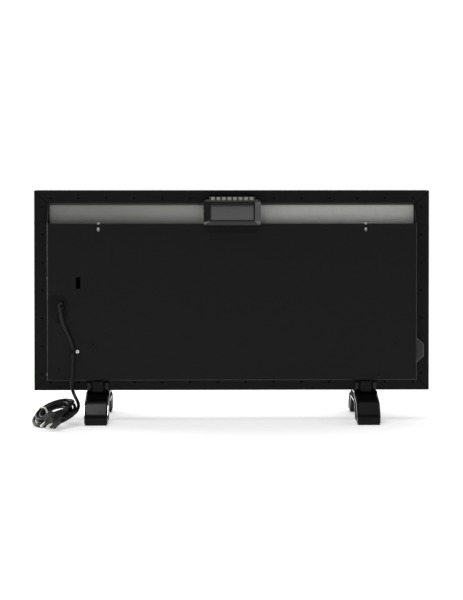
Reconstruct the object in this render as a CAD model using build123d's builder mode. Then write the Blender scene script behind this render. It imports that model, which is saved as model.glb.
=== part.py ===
from build123d import *
import os
from math import cos, dist, pi, radians, sin, sqrt, tan

# Panel convector heater on two feet. Millimetres, +Z up, origin on the floor under its middle.
# The glass front faces -Y, and +Y is the back, with the rear cover, the control unit and the cord.

# Panel
panel_width = 850
panel_height = 430
panel_clearance = 64  # floor to the underside of the panel
panel_corner = 2
flange_y = 29  # rear face of the folded flange, behind the middle of the feet
tray_depth = 48
tray_sheet = 1.2
glass_thickness = 5
glass_inset = 1
glass_corner = 4
flange_side = 26
flange_top = 26.4
flange_bottom = 22
seam_width = 0.7
seam_depth = 0.6
contact_gap = 0.3  # between pieces that are set together but not pressed

# Mounting frame, clinched behind the flange
frame_sheet = 1
rim_sheet = 1.2
rim_height = 14

# Rear cover
cover_width = 790
cover_bottom = 89
cover_top = 423.6
cover_depth = 30
cover_sheet = 1
cover_bend = 2.5
cover_lip = 9

# Hanging slots and their zinc lugs
hanging_spacing = 572
hanging_z = 411
slot_width = 5.5
slot_height = 9
lug_width = 14
lug_sheet = 1.5
lug_gap = 8
lug_tip_width = 5
lug_tip_rise = 2.4
lug_notch = 2

# Air deflector
deflector_sheet = 0.8
deflector_top_y = 22
deflector_knee_z = 470
deflector_foot_z = 398

# Intake grille in the underside
grille_length = 480
grille_depth = 34
grille_sheet = 1
grille_margin = 6
intake_slot_length = 15
intake_slot_width = 4.5
intake_columns = 22
intake_pitch = 20
intake_row_pitch = 11
intake_rows = 3

# Control unit on top of the cover
control_width = 122
control_bottom = 420
control_top = 481
control_shoulder = 474.5
control_rear_y = 76
control_wall = 2
control_corner = 6
bevel_side = 13
bevel_bottom = 9
bevel_top = 3
bevel_depth = 12
base_bottom = 402.5
base_thickness = 3
base_corner = 15
insert_width = 90
insert_bottom = 432
insert_height = 38
insert_thickness = 2
insert_groove = 0.8
vent_count = 8
vent_pitch = 11.8
vent_width = 8
vent_rise = 5  # the comb's slope runs this far to each side of the bevel's front edge
post_length = 6
bracket_rear_y = 51
board_thickness = 1.6

# Side switch
switch_z = 152.5
switch_base_length = 55
switch_face_length = 26
switch_reach = 16
switch_depth = 26
switch_bevel = 2.5
switch_wall = 1.6
switch_body_length = 24.5
switch_body_width = 15
switch_body_depth = 24
rocker_length = 19.5
rocker_width = 11
rocker_swing = 10  # degrees to each side of level
rocker_dish = 1.7
rocker_height = 3.2
rocker_hub = 3.6
rocker_pivot_depth = 3.6
rocker_pin_radius = 1.3
rocker_pin_clearance = 0.05
rocker_window_length = 21.4
rocker_window_width = 12

# Heating element and what holds it
element_x = -27
element_length = 600
element_y = 8
element_z = 166
fin_length = 27
fin_sheet = 1.8
fin_angle = 32
fin_slot = 3
fin_slot_pitch = 30
tube_radius = 6
rod_radius = 3.2
bracket_span = 646
bracket_sheet = 1.5
bracket_width = 30
bush_radius = 8
bush_length = 10
bush_groove = 1.5

# Cord entry, clip and screws of the cover
entry_x = 370.5
entry_z = 244
entry_width = 37
entry_height = 58
entry_thickness = 2
cord_exit_x = 363.5
cord_exit_z = 254.7
gland_radius = 9.5
gland_collar = 2.5
boot_radius = 6
boot_tip_radius = 4.7
boot_rim = 0.9
boot_bend = 10
boot_length = 9
clip_x = 330
clip_z = 151
clip_rail_z = 153
clip_rail_length = 52
clip_rail_width = 7
clip_rail_sheet = 1
clip_width = 10
clip_strap = 1.6
screw_hole_radius = 1.9
screw_clearance = 0.15
screw_head_radius = 3.8
screw_head_height = 2.2
cover_screw_z = (99.5, 306)
tab_slot_x = 328.5
tab_slot_z = 297.5
tab_slot_width = 10
tab_slot_height = 25

# Feet
foot_x = 288
foot_depth = 220
foot_width = 46
foot_toe_height = 20
foot_knee_y = 88
foot_knee_z = 46.5
foot_shoulder_y = 44
foot_shoulder_z = 57.5
foot_arch_z = 36
foot_arch_rear_y = 58
foot_arch_front_y = -76
foot_edge = 3
neck_width = 23
neck_height = 19
neck_thickness = 8
trim_sheet = 1
trim_rim = 1
trim_rim_width = 2.4
trim_inset = 3.5
pad_height = 2
pad_rise = 0.5
pad_length = 26
pad_width = 30
clip_lug_width = 8.6
clip_lug_height = 18
clip_lug_depth = 7
clip_lug_x = 19
foot_screw_y = 13
foot_screw_radius = 2.4
foot_screw_hole = 2.6
foot_screw_head = 4.8
foot_screw_head_height = 3
nut_radius = 4.5
nut_height = 4

# Mains cord
cord_radius = 3.5
coil_centre_x = 372
coil_centre_y = 100
coil_tilt = 25
coil_lean = 44
coil_heading = 171
coil_radius = 50
coil_step = 8.6
coil_layer = 7.6
coil_turns = 3
floor_gap = 0.3
tie_width = 5
tie_sheet = 0.8
tie_gap = 0.5
tie_angle = 150  # degrees round the coil from its high end
plug_length = 40
plug_relief_radius = 5
plug_grip_radius = 12
plug_face_radius = 18
plug_face_length = 14
pin_radius = 2.4
pin_length = 19
pin_root = 6
pin_spacing = 19
plug_rear = (354, 149.5, 37.5)
plug_heading = (0.61, 0.638, -0.46)

# Derived places
half_width = panel_width / 2
panel_top = panel_clearance + panel_height
panel_middle = panel_clearance + panel_height / 2
tray_front_y = flange_y - tray_depth
cover_y = flange_y + cover_depth
cover_half = cover_width / 2
cover_inner_y = cover_y - cover_sheet
outlet_top = panel_top - flange_top
frame_y = flange_y - tray_sheet
rim_half = cover_half - cover_sheet - contact_gap
rim_bottom = cover_bottom + cover_sheet + contact_gap
side_wall_x = half_width - tray_sheet
switch_y = flange_y + contact_gap + switch_depth / 2


def back_plane(y):
    """A sketch plane at depth y whose extrusions go towards the front."""
    return Plane.XZ.offset(-y)


def save(builder, name):
    """Label one finished piece and write it."""
    builder.part.label = name
    export_step(builder.part, f"parts/{name}.step")


os.makedirs("parts", exist_ok=True)

# Glass front
with BuildPart() as glass_front:
    with BuildSketch(back_plane(tray_front_y)):
        with Locations((0, panel_middle)):
            RectangleRounded(panel_width - 2 * glass_inset, panel_height - 2 * glass_inset, glass_corner)
    extrude(amount=glass_thickness)
    chamfer(glass_front.faces().sort_by(Axis.Y)[0].edges(), 0.8)

# Front tray: pan with a return flange, mitred at its corners, and a cut-out for the intake grille
with BuildPart() as front_tray:
    with BuildSketch(back_plane(flange_y)):
        with Locations((0, panel_middle)):
            RectangleRounded(panel_width, panel_height, panel_corner)
    extrude(amount=tray_depth)
    with BuildSketch(back_plane(flange_y - tray_sheet)):
        with Locations((0, panel_middle)):
            Rectangle(panel_width - 2 * tray_sheet, panel_height - 2 * tray_sheet)
    extrude(amount=tray_depth - 2 * tray_sheet, mode=Mode.SUBTRACT)
    opening_height = panel_height - flange_top - flange_bottom
    with BuildSketch(back_plane(flange_y)):
        with Locations((0, panel_clearance + flange_bottom + opening_height / 2)):
            Rectangle(panel_width - 2 * flange_side, opening_height)
    extrude(amount=tray_sheet, mode=Mode.SUBTRACT)
    with BuildSketch(back_plane(flange_y)):
        for side in (-1, 1):
            for corner_z, band, turn in ((panel_top, flange_top, side), (panel_clearance, flange_bottom, -side)):
                inward = 1 if corner_z == panel_clearance else -1
                middle = (side * (half_width - flange_side / 2), corner_z + inward * band / 2)
                with Locations(Location(middle, turn * 45)):
                    Rectangle(2 * flange_side, seam_width)
    extrude(amount=seam_depth, mode=Mode.SUBTRACT)
    with BuildSketch(Plane.XY.offset(panel_clearance)):
        with Locations((0, flange_y - tray_depth / 2)):
            Rectangle(grille_length - 2 * grille_margin, grille_depth - 2)
    extrude(amount=tray_sheet, mode=Mode.SUBTRACT)
    with BuildSketch(Plane.XY.offset(panel_clearance)):
        for side in (-1, 1):
            with Locations((side * foot_x, foot_screw_y), (side * foot_x, -foot_screw_y)):
                Circle(foot_screw_hole)
    extrude(amount=tray_sheet, mode=Mode.SUBTRACT)

# Mounting frame: flat ring behind the flange, with an upturned rim that the cover is screwed to
with BuildPart() as mounting_frame:
    frame_inner_half = rim_half - rim_sheet
    frame_inner_bottom = rim_bottom + rim_sheet
    with BuildSketch(back_plane(frame_y)):
        with Locations((0, panel_middle)):
            Rectangle(2 * (side_wall_x - contact_gap), panel_height - 2 * (tray_sheet + contact_gap))
        with Locations((0, (frame_inner_bottom + outlet_top) / 2)):
            Rectangle(2 * frame_inner_half, outlet_top - frame_inner_bottom, mode=Mode.SUBTRACT)
    extrude(amount=frame_sheet)
    with BuildSketch(back_plane(frame_y)):
        rim_top = cover_top - cover_depth
        with Locations((0, (rim_bottom + rim_top) / 2)):
            Rectangle(2 * rim_half, rim_top - rim_bottom)
        with Locations((0, (frame_inner_bottom + rim_top) / 2)):
            Rectangle(2 * frame_inner_half, rim_top - frame_inner_bottom, mode=Mode.SUBTRACT)
        with Locations((0, rim_top)):
            Rectangle(2 * frame_inner_half, 2 * rim_sheet, mode=Mode.SUBTRACT)
    extrude(amount=-rim_height)
    with BuildSketch(Plane.YZ.offset(-rim_half)):
        with Locations((switch_y, switch_z)):
            Rectangle(switch_body_width + 2, switch_body_length + 4)
    extrude(amount=rim_sheet, mode=Mode.SUBTRACT)
    with BuildSketch(Plane.YZ.offset(-rim_half)):
        with Locations(*[(flange_y + rim_height / 2, z) for z in cover_screw_z]):
            Circle(screw_hole_radius)
    extrude(amount=2 * rim_half, mode=Mode.SUBTRACT)

# Air deflector: one bent sheet from the top of the tray down to its front
with BuildPart() as air_deflector:
    deflector_top_z = panel_top - tray_sheet
    tray_inner_y = tray_front_y + tray_sheet
    with BuildSketch(Plane.YZ) as deflector_profile:
        with BuildLine():
            bend_line = FilletPolyline(
                (deflector_top_y - 16, deflector_top_z - deflector_sheet),
                (deflector_top_y, deflector_top_z - deflector_sheet),
                (deflector_top_y, deflector_knee_z),
                (tray_inner_y, deflector_foot_z),
                (tray_inner_y, deflector_foot_z - 20),
                radius=5,
            )
            offset(bend_line, amount=deflector_sheet, side=Side.LEFT)
        make_face()
    extrude(amount=frame_inner_half - contact_gap, both=True)

# Rear cover: shallow pan with cheeks that slope up to the flange beside the air outlet
entry_hole_radius = boot_radius + 1
element_screws = (element_x - bracket_span / 2, element_x + bracket_span / 2)
inner_screws = ((entry_x, 210.5), (entry_x, 112), (-314, 99))
slope_rise = outlet_top - contact_gap - cover_top


def cover_prism(inset, front_y):
    """The cover's outer shape drawn in by a sheet, with its bottom and side bends."""
    with BuildPart() as prism:
        with BuildSketch(Plane.YZ):
            with BuildLine():
                Polyline(
                    (front_y, cover_bottom + inset),
                    (cover_y - inset, cover_bottom + inset),
                    (cover_y - inset, cover_top),
                    (front_y, cover_top + slope_rise * (cover_y - inset - front_y) / cover_depth),
                    close=True,
                )
            make_face()
        extrude(amount=cover_half - inset, both=True)
        back = prism.faces().filter_by(Axis.Y).sort_by(Axis.Y)[-1]
        bends = back.edges().filter_by(Axis.Z) + back.edges().filter_by(Axis.X).sort_by(Axis.Z)[:1]
        fillet(bends, cover_bend - inset)
    return prism.part


with BuildPart() as rear_cover:
    add(cover_prism(0, flange_y))
    add(cover_prism(cover_sheet, flange_y - 1), mode=Mode.SUBTRACT)
    with BuildSketch(Plane.XY.offset(cover_top)):
        with Locations((0, cover_y - cover_depth / 2)):
            Rectangle(cover_width - 2 * cover_sheet, cover_depth)
    extrude(amount=flange_top + slope_rise, mode=Mode.SUBTRACT)
    with BuildSketch(Plane.XY.offset(cover_top)):
        with Locations((0, cover_inner_y - cover_lip / 2)):
            Rectangle(cover_width - 2 * cover_sheet, cover_lip)
        for side in (-1, 1):
            with Locations((side * hanging_spacing / 2, cover_inner_y - cover_lip / 2)):
                Rectangle(lug_width + 2 * contact_gap, cover_lip, mode=Mode.SUBTRACT)
    extrude(amount=-cover_sheet)
    with BuildSketch(back_plane(cover_y)):
        for side in (-1, 1):
            with Locations((side * hanging_spacing / 2, hanging_z)):
                SlotOverall(slot_height, slot_width, rotation=90)
            with Locations((side * hanging_spacing / 2, cover_top)):
                Rectangle(lug_tip_width, 2 * lug_notch)
        with Locations((tab_slot_x, tab_slot_z)):
            RectangleRounded(tab_slot_width, tab_slot_height, 2)
        with Locations((cord_exit_x, cord_exit_z)):
            Circle(entry_hole_radius)
        with Locations((clip_x, clip_z)):
            Circle(screw_hole_radius)
        with Locations(*[(x, element_z) for x in element_screws], *inner_screws):
            Circle(screw_hole_radius)
    extrude(amount=cover_sheet, mode=Mode.SUBTRACT)
    with BuildSketch(Plane.YZ.offset(-cover_half)):
        with Locations((switch_y, switch_z)):
            Rectangle(switch_body_width + 2 * contact_gap, switch_body_length + 2 * contact_gap)
    extrude(amount=cover_sheet, mode=Mode.SUBTRACT)
    with BuildSketch(Plane.YZ.offset(-cover_half)):
        with Locations(*[(flange_y + rim_height / 2, z) for z in cover_screw_z]):
            Circle(screw_hole_radius)
    extrude(amount=cover_width, mode=Mode.SUBTRACT)

# Zinc lugs behind the hanging slots: foot on the cover, bridge past the slot, tip in the notch above
lug_y = cover_inner_y - lug_gap
with BuildPart() as hanging_lugs:
    for side in (-1, 1):
        with BuildSketch(Plane.YZ.offset(side * hanging_spacing / 2)):
            with BuildLine():
                lug_line = FilletPolyline(
                    (cover_inner_y, hanging_z - 26),
                    (cover_inner_y, hanging_z - 15),
                    (lug_y, hanging_z - 9),
                    (lug_y, cover_top + lug_tip_rise),
                    radius=1.8,
                )
                offset(lug_line, amount=lug_sheet, side=Side.LEFT)
            make_face()
        extrude(amount=lug_width / 2, both=True)
    fillet(hanging_lugs.edges().filter_by(Axis.Y).group_by(Axis.Z)[-1], 3)

# Screws through the sides of the cover into the rim of the mounting frame
with BuildPart() as cover_screws:
    for side in (-1, 1):
        for z in cover_screw_z:
            seat = Plane(origin=(side * cover_half, flange_y + rim_height / 2, z), z_dir=(side, 0, 0))
            with BuildSketch(seat):
                Circle(screw_head_radius)
            extrude(amount=screw_head_height)
            with BuildSketch(seat):
                Circle(screw_hole_radius - screw_clearance)
            extrude(amount=-(cover_sheet + contact_gap + rim_sheet + 3))
    fillet(cover_screws.faces().filter_by(Axis.X).sort_by(Axis.X)[:2].edges(), 1)
    fillet(cover_screws.faces().filter_by(Axis.X).sort_by(Axis.X)[-2:].edges(), 1)

# Intake grille on the inside of the tray's floor
with BuildPart() as intake_grille:
    with BuildSketch(Plane.XY.offset(panel_clearance + tray_sheet)):
        with Locations((0, flange_y - tray_depth / 2)):
            Rectangle(grille_length, grille_depth)
            with GridLocations(intake_pitch, intake_row_pitch, intake_columns, intake_rows):
                SlotOverall(intake_slot_length, intake_slot_width, mode=Mode.SUBTRACT)
    extrude(amount=grille_sheet)


def element_plane(x):
    """A plane across the heating element at x, with +Y to its right."""
    return Plane(origin=(x, element_y, element_z), x_dir=(0, 1, 0), z_dir=(1, 0, 0))


# Heating element: tube with four slit fins, and the rod that carries it
with BuildPart() as heating_element:
    element_start = element_x - element_length / 2
    with BuildSketch(element_plane(element_start)):
        Circle(tube_radius)
        for turn in (90 - fin_angle, 90 + fin_angle, 270 - fin_angle, 270 + fin_angle):
            with PolarLocations(tube_radius + fin_length / 2 - 1, 1, turn):
                Rectangle(fin_length, fin_sheet)
    extrude(amount=element_length)
    slit_reach = 2 * (tube_radius + fin_length)
    slits = int(element_length / fin_slot_pitch) - 1
    with BuildSketch(Plane.XZ.offset(-element_y)):
        for side in (-1, 1):
            with Locations((element_x, element_z + side * (tube_radius + 4 + fin_length / 2))):
                with GridLocations(fin_slot_pitch, 1, slits, 1):
                    Rectangle(fin_slot, fin_length)
    extrude(amount=slit_reach, both=True, mode=Mode.SUBTRACT)
    with BuildSketch(element_plane(element_screws[0] - bush_length)):
        Circle(rod_radius)
    extrude(amount=bracket_span + 2 * bush_length)

# Ceramic bushes on the rod, their brackets on the cover and the black screws from behind
with BuildPart() as element_bushes:
    for x in element_screws:
        with BuildSketch(element_plane(x - bush_length / 2)):
            Circle(bush_radius)
            Circle(rod_radius, mode=Mode.SUBTRACT)
        extrude(amount=bush_length)
        with BuildSketch(element_plane(x - bracket_sheet / 2)):
            Circle(bush_radius + 1)
            Circle(bush_radius - bush_groove, mode=Mode.SUBTRACT)
        extrude(amount=bracket_sheet, mode=Mode.SUBTRACT)

with BuildPart() as element_brackets:
    arm_length = cover_inner_y - element_y + bush_radius + 4
    for x in element_screws:
        with BuildSketch(back_plane(cover_inner_y)):
            with Locations((x, element_z)):
                Rectangle(bracket_width, bracket_width)
                Circle(screw_hole_radius, mode=Mode.SUBTRACT)
        extrude(amount=bracket_sheet)
        with BuildSketch(Plane.YZ.offset(x - bracket_sheet / 2)):
            with Locations((cover_inner_y - arm_length / 2, element_z + bracket_width / 2 - 4)):
                Rectangle(arm_length, 8)
            with Locations((element_y, element_z)):
                RectangleRounded(2 * bush_radius + 8, bracket_width, 4)
                Circle(bush_radius - bush_groove, mode=Mode.SUBTRACT)
        extrude(amount=bracket_sheet)


def back_screws(places, seat_y, shank):
    """Pan-head screws driven into seat_y from behind."""
    with BuildPart() as screws:
        with BuildSketch(back_plane(seat_y)):
            with Locations(*places):
                Circle(screw_head_radius)
        extrude(amount=-screw_head_height)
        fillet(screws.faces().sort_by(Axis.Y)[-len(places):].edges(), 1)
        with BuildSketch(back_plane(seat_y)):
            with Locations(*places):
                Circle(screw_hole_radius - screw_clearance)
        extrude(amount=shank)
    return screws


bracket_screws = back_screws([(x, element_z) for x in element_screws], cover_y, cover_sheet + bracket_sheet + 3)
casing_screws = back_screws(inner_screws, cover_y, cover_sheet + 4)
clip_screw = back_screws([(clip_x, clip_z)], cover_y + clip_rail_sheet + clip_strap, clip_rail_sheet + clip_strap + 5)

# Inner parts on the cover's inside: terminal block, tip-over switch, sensor, thermal cut-out
with BuildPart() as terminal_block:
    with BuildSketch(back_plane(cover_inner_y)):
        with Locations(inner_screws[0]):
            RectangleRounded(34, 20, 2)
    extrude(amount=14)
    with BuildSketch(back_plane(cover_inner_y - 14)):
        with Locations(inner_screws[0]):
            with GridLocations(11, 1, 3, 1):
                Rectangle(8, 12)
    extrude(amount=-6, mode=Mode.SUBTRACT)
    with BuildSketch(back_plane(cover_inner_y)):
        with Locations(inner_screws[0]):
            Circle(screw_hole_radius)
    extrude(amount=8, mode=Mode.SUBTRACT)

with BuildPart() as tip_over_switch:
    with BuildSketch(back_plane(cover_inner_y)):
        with Locations(inner_screws[1]):
            RectangleRounded(26, 20, 2)
    extrude(amount=16)
    chamfer(tip_over_switch.faces().sort_by(Axis.Y)[0].edges(), 1.5)
    with BuildSketch(back_plane(cover_inner_y)):
        with Locations(inner_screws[1]):
            Circle(screw_hole_radius)
    extrude(amount=8, mode=Mode.SUBTRACT)

with BuildPart() as temperature_sensor:
    with BuildSketch(back_plane(cover_inner_y)):
        with Locations(inner_screws[2]):
            SlotOverall(22, 9)
            Circle(screw_hole_radius, mode=Mode.SUBTRACT)
    extrude(amount=1.5)
    sensor_tip = Plane.YZ.offset(inner_screws[2][0] - 9)
    with BuildSketch(sensor_tip):
        with Locations((cover_inner_y - 1.5 - 3, inner_screws[2][1])):
            Circle(3.2)
    extrude(amount=-16)
    fillet(temperature_sensor.faces().sort_by(Axis.X)[0].edges(), 2)

with BuildPart() as thermal_cutout:
    cutout_x = element_screws[1] + bracket_sheet / 2
    cutout_y = element_y + 26
    with BuildSketch(Plane(origin=(cutout_x, cutout_y, element_z + 11), x_dir=(0, 1, 0), z_dir=(1, 0, 0))):
        Circle(8)
    extrude(amount=7)
    with BuildSketch(Plane(origin=(cutout_x + 7, cutout_y, element_z + 11), x_dir=(0, 1, 0), z_dir=(1, 0, 0))):
        with GridLocations(1, 7, 1, 2):
            Rectangle(6, 1)
    extrude(amount=8)

# Control unit: base plate on the cover, gloss housing, inset service cover, bracket and board
control_half = control_width / 2
bevel_y = control_rear_y - bevel_depth
vent_half = vent_count * vent_pitch / 2
wall_top = control_shoulder - control_wall
face_bottom = control_bottom + bevel_bottom
face_top = control_shoulder - bevel_top
outlet_floor = cover_top + contact_gap
inner_floor = outlet_floor + control_wall
with BuildPart() as control_base:
    base_top = control_bottom - contact_gap
    with BuildSketch(back_plane(cover_y)):
        with Locations((0, (base_bottom + base_top) / 2)):
            Rectangle(control_width - 6, base_top - base_bottom)
    extrude(amount=-base_thickness)
    fillet(control_base.edges().filter_by(Axis.Y).group_by(Axis.Z)[0], base_corner)
    chamfer(control_base.faces().sort_by(Axis.Y)[-1].edges(), 0.6)

with BuildPart() as control_housing:
    with BuildSketch(back_plane(bevel_y)):
        with Locations((0, (control_bottom + control_shoulder) / 2)):
            RectangleRounded(control_width, control_shoulder - control_bottom, control_corner)
    with BuildSketch(back_plane(control_rear_y)):
        with Locations((0, (face_bottom + face_top) / 2)):
            RectangleRounded(control_width - 2 * bevel_side, face_top - face_bottom, 1.5)
    loft()
    with BuildSketch(back_plane(bevel_y)):
        with Locations((0, (control_bottom + control_shoulder) / 2)):
            RectangleRounded(control_width, control_shoulder - control_bottom, control_corner)
    extrude(amount=bevel_y - cover_y)
    with BuildSketch(back_plane(cover_y)):
        with Locations((0, (outlet_floor + control_shoulder) / 2)):
            RectangleRounded(control_width, control_shoulder - outlet_floor, control_corner)
    extrude(amount=cover_y - flange_y)
    with BuildSketch(Plane.YZ):
        with BuildLine():
            Polyline(
                (flange_y, wall_top),
                (flange_y, control_top),
                (bevel_y - vent_rise, control_top),
                (bevel_y + vent_rise, wall_top),
                close=True,
            )
        make_face()
    extrude(amount=vent_half + control_wall, both=True)
    with BuildSketch(back_plane(bevel_y - control_wall)):
        with Locations((0, (inner_floor + wall_top) / 2)):
            Rectangle(control_width - 2 * control_wall, wall_top - inner_floor)
    extrude(amount=cover_depth + bevel_depth, mode=Mode.SUBTRACT)
    with BuildSketch(back_plane(control_rear_y - insert_thickness - control_wall)):
        with Locations((0, (face_bottom + wall_top) / 2)):
            Rectangle(insert_width, wall_top - face_bottom - 2 * control_wall)
    extrude(amount=bevel_depth, mode=Mode.SUBTRACT)
    with BuildSketch(Plane.YZ):
        with BuildLine():
            Polyline(
                (flange_y - 1, wall_top - 2),
                (flange_y - 1, control_top - control_wall),
                (bevel_y - vent_rise - 1, control_top - control_wall),
                (bevel_y + vent_rise - control_wall - 2, wall_top),
                (bevel_y + vent_rise - control_wall - 2, wall_top - 2),
                close=True,
            )
        make_face()
    extrude(amount=vent_half, both=True, mode=Mode.SUBTRACT)
    with BuildSketch(Plane.XY.offset(control_top)):
        with Locations((0, bevel_y)):
            with GridLocations(vent_pitch, 1, vent_count, 1):
                Rectangle(vent_width, 3 * vent_rise)
    extrude(amount=control_shoulder - control_top, mode=Mode.SUBTRACT)
    with BuildSketch(back_plane(control_rear_y)):
        with Locations((0, insert_bottom + insert_height / 2)):
            Rectangle(insert_width + 2 * insert_groove, insert_height + 2 * insert_groove)
    extrude(amount=insert_thickness, mode=Mode.SUBTRACT)
    with BuildSketch(back_plane(bevel_y - control_wall)):
        for side in (-1, 1):
            post_x = side * (control_half - 9)
            with Locations((post_x, inner_floor + 6), (post_x, wall_top - 9)):
                Circle(3)
    extrude(amount=post_length)

with BuildPart() as service_cover:
    with BuildSketch(back_plane(control_rear_y)):
        with Locations((0, insert_bottom + insert_height / 2)):
            RectangleRounded(insert_width, insert_height, 2)
    extrude(amount=insert_thickness)
    chamfer(service_cover.faces().sort_by(Axis.Y)[-1].edges(), 0.5)

with BuildPart() as control_bracket:
    bracket_floor = outlet_top + 2
    with BuildSketch(Plane.YZ):
        with BuildLine():
            bracket_line = FilletPolyline(
                (flange_y, control_top - control_wall),
                (flange_y, bracket_floor),
                (bracket_rear_y, bracket_floor),
                (bracket_rear_y, control_top - control_wall),
                radius=2,
            )
            offset(bracket_line, amount=1, side=Side.LEFT)
        make_face()
    extrude(amount=vent_half - 1, both=True)

with BuildPart() as control_board:
    board_y = bevel_y - control_wall - post_length
    board_top = bracket_floor - 3
    with BuildSketch(back_plane(board_y)):
        with Locations((0, (inner_floor + 1 + board_top) / 2)):
            Rectangle(control_width - 2 * control_wall - 4, board_top - inner_floor - 1)
    extrude(amount=board_thickness)
    with BuildSketch(back_plane(board_y - board_thickness)):
        with Locations((-28, (inner_floor + board_top) / 2), (0, (inner_floor + board_top) / 2)):
            Rectangle(19, 15)
    extrude(amount=14)
    with BuildSketch(back_plane(board_y - board_thickness)):
        with Locations((28, (inner_floor + board_top) / 2)):
            Circle(6)
    extrude(amount=11)

# Side switch: faceted housing on the cover's side, switch body through it, rocker on its pins
switch_outer_x = -(cover_half + switch_reach)
with BuildPart() as switch_housing:
    with BuildSketch(back_plane(switch_y + switch_depth / 2)) as switch_outline:
        with BuildLine():
            Polyline(
                (-cover_half, switch_z - switch_base_length / 2),
                (-cover_half, switch_z + switch_base_length / 2),
                (switch_outer_x, switch_z + switch_face_length / 2),
                (switch_outer_x, switch_z - switch_face_length / 2),
                close=True,
            )
        make_face()
        fillet(switch_outline.vertices().group_by(Axis.X)[0], 4)
    extrude(amount=switch_depth)
    chamfer(switch_housing.faces().sort_by(Axis.Y)[-1].edges().sort_by(Axis.X)[:-1], switch_bevel)
    with BuildSketch(Plane.YZ.offset(-cover_half)):
        with Locations((switch_y, switch_z)):
            Rectangle(switch_body_width, switch_body_length)
    extrude(amount=-switch_reach, mode=Mode.SUBTRACT)

rocker_pivot = (switch_outer_x + rocker_pivot_depth, switch_y, switch_z)
with BuildPart() as switch_body:
    with BuildSketch(Plane.YZ.offset(switch_outer_x)):
        with Locations((switch_y, switch_z)):
            Rectangle(switch_body_width, switch_body_length)
    extrude(amount=switch_reach + switch_body_depth)
    with BuildSketch(Plane.YZ.offset(switch_outer_x)):
        with Locations((switch_y, switch_z)):
            Rectangle(rocker_window_width, rocker_window_length)
    extrude(amount=rocker_pivot_depth + rocker_hub + 2, mode=Mode.SUBTRACT)
    with BuildSketch(Plane(origin=rocker_pivot, x_dir=(0, 0, 1), z_dir=(0, 1, 0))):
        Circle(rocker_pin_radius + rocker_pin_clearance)
    extrude(amount=switch_body_width / 2, both=True, mode=Mode.SUBTRACT)
    with BuildSketch(Plane.YZ.offset(-cover_half + switch_body_depth)):
        with Locations((switch_y, switch_z)):
            with GridLocations(1, 8, 1, 2):
                Rectangle(6, 0.8)
    extrude(amount=8)

rocker_plane = Plane(origin=rocker_pivot, x_dir=(0, 0, 1), z_dir=(0, 1, 0)).rotated((0, rocker_swing, 0))
with BuildPart() as switch_rocker:
    with BuildSketch(rocker_plane):
        with BuildLine():
            Polyline(
                (-rocker_length / 2, -rocker_height),
                (0, rocker_dish - rocker_height),
                (rocker_length / 2, -rocker_height),
                (rocker_length / 2 - 0.6, 0.6),
                (0, rocker_hub),
                (0.6 - rocker_length / 2, 0.6),
                close=True,
            )
        make_face()
    extrude(amount=rocker_width / 2, both=True)
    with BuildSketch(rocker_plane):
        Circle(rocker_pin_radius)
    extrude(amount=switch_body_width / 2 - 0.3, both=True)

# Cord entry: oval plate, gland with a curved tapered boot, rail and clip
with BuildPart() as cord_entry_plate:
    with BuildSketch(back_plane(cover_y)):
        with Locations((entry_x, entry_z)):
            SlotOverall(entry_height, entry_width, rotation=90)
        with Locations((cord_exit_x, cord_exit_z)):
            Circle(boot_radius + contact_gap, mode=Mode.SUBTRACT)
    extrude(amount=-entry_thickness)
    chamfer(cord_entry_plate.faces().sort_by(Axis.Y)[-1].edges(), 0.7)

plate_y = cover_y + entry_thickness
boot_start = (cord_exit_x, plate_y + gland_collar, cord_exit_z)
boot_y = boot_start[1] + boot_bend
boot_end_z = cord_exit_z - boot_bend - boot_length
with BuildPart() as cord_gland:
    with BuildSketch(back_plane(boot_start[1])):
        with Locations((cord_exit_x, cord_exit_z)):
            Circle(gland_radius)
    extrude(amount=gland_collar)
    chamfer(cord_gland.faces().sort_by(Axis.Y)[-1].edges(), 0.8)
    with BuildSketch(back_plane(plate_y)):
        with Locations((cord_exit_x, cord_exit_z)):
            Circle(boot_radius)
    extrude(amount=entry_thickness + cover_sheet + 3)
    with BuildLine() as boot_line:
        Line((cord_exit_x, boot_start[1] - 0.5, cord_exit_z), boot_start)
        TangentArc(boot_start, (cord_exit_x, boot_y, cord_exit_z - boot_bend), tangent=(0, 1, 0))
        Line((cord_exit_x, boot_y, cord_exit_z - boot_bend), (cord_exit_x, boot_y, boot_end_z))
    with BuildSketch(Plane.XY.offset(boot_end_z)):
        with Locations((cord_exit_x, boot_y)):
            Circle(boot_tip_radius + boot_rim)
    extrude(amount=2)
    with BuildSketch(back_plane(boot_start[1] - 0.5)):
        with Locations((cord_exit_x, cord_exit_z)):
            Circle(boot_radius)
    with BuildSketch(Plane(origin=(cord_exit_x, boot_y, boot_end_z), z_dir=(0, 0, -1))):
        Circle(boot_tip_radius)
    sweep(path=boot_line.wires()[0], multisection=True)

with BuildPart() as clip_rail:
    with BuildSketch(back_plane(cover_y)):
        with Locations((clip_x, clip_rail_z)):
            SlotOverall(clip_rail_length, clip_rail_width, rotation=90)
        with Locations((clip_x, clip_z)):
            Circle(screw_hole_radius, mode=Mode.SUBTRACT)
        with Locations((clip_x, clip_z + 16), (clip_x, clip_z - 15)):
            Circle(screw_hole_radius, mode=Mode.SUBTRACT)
    extrude(amount=-clip_rail_sheet)

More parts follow.
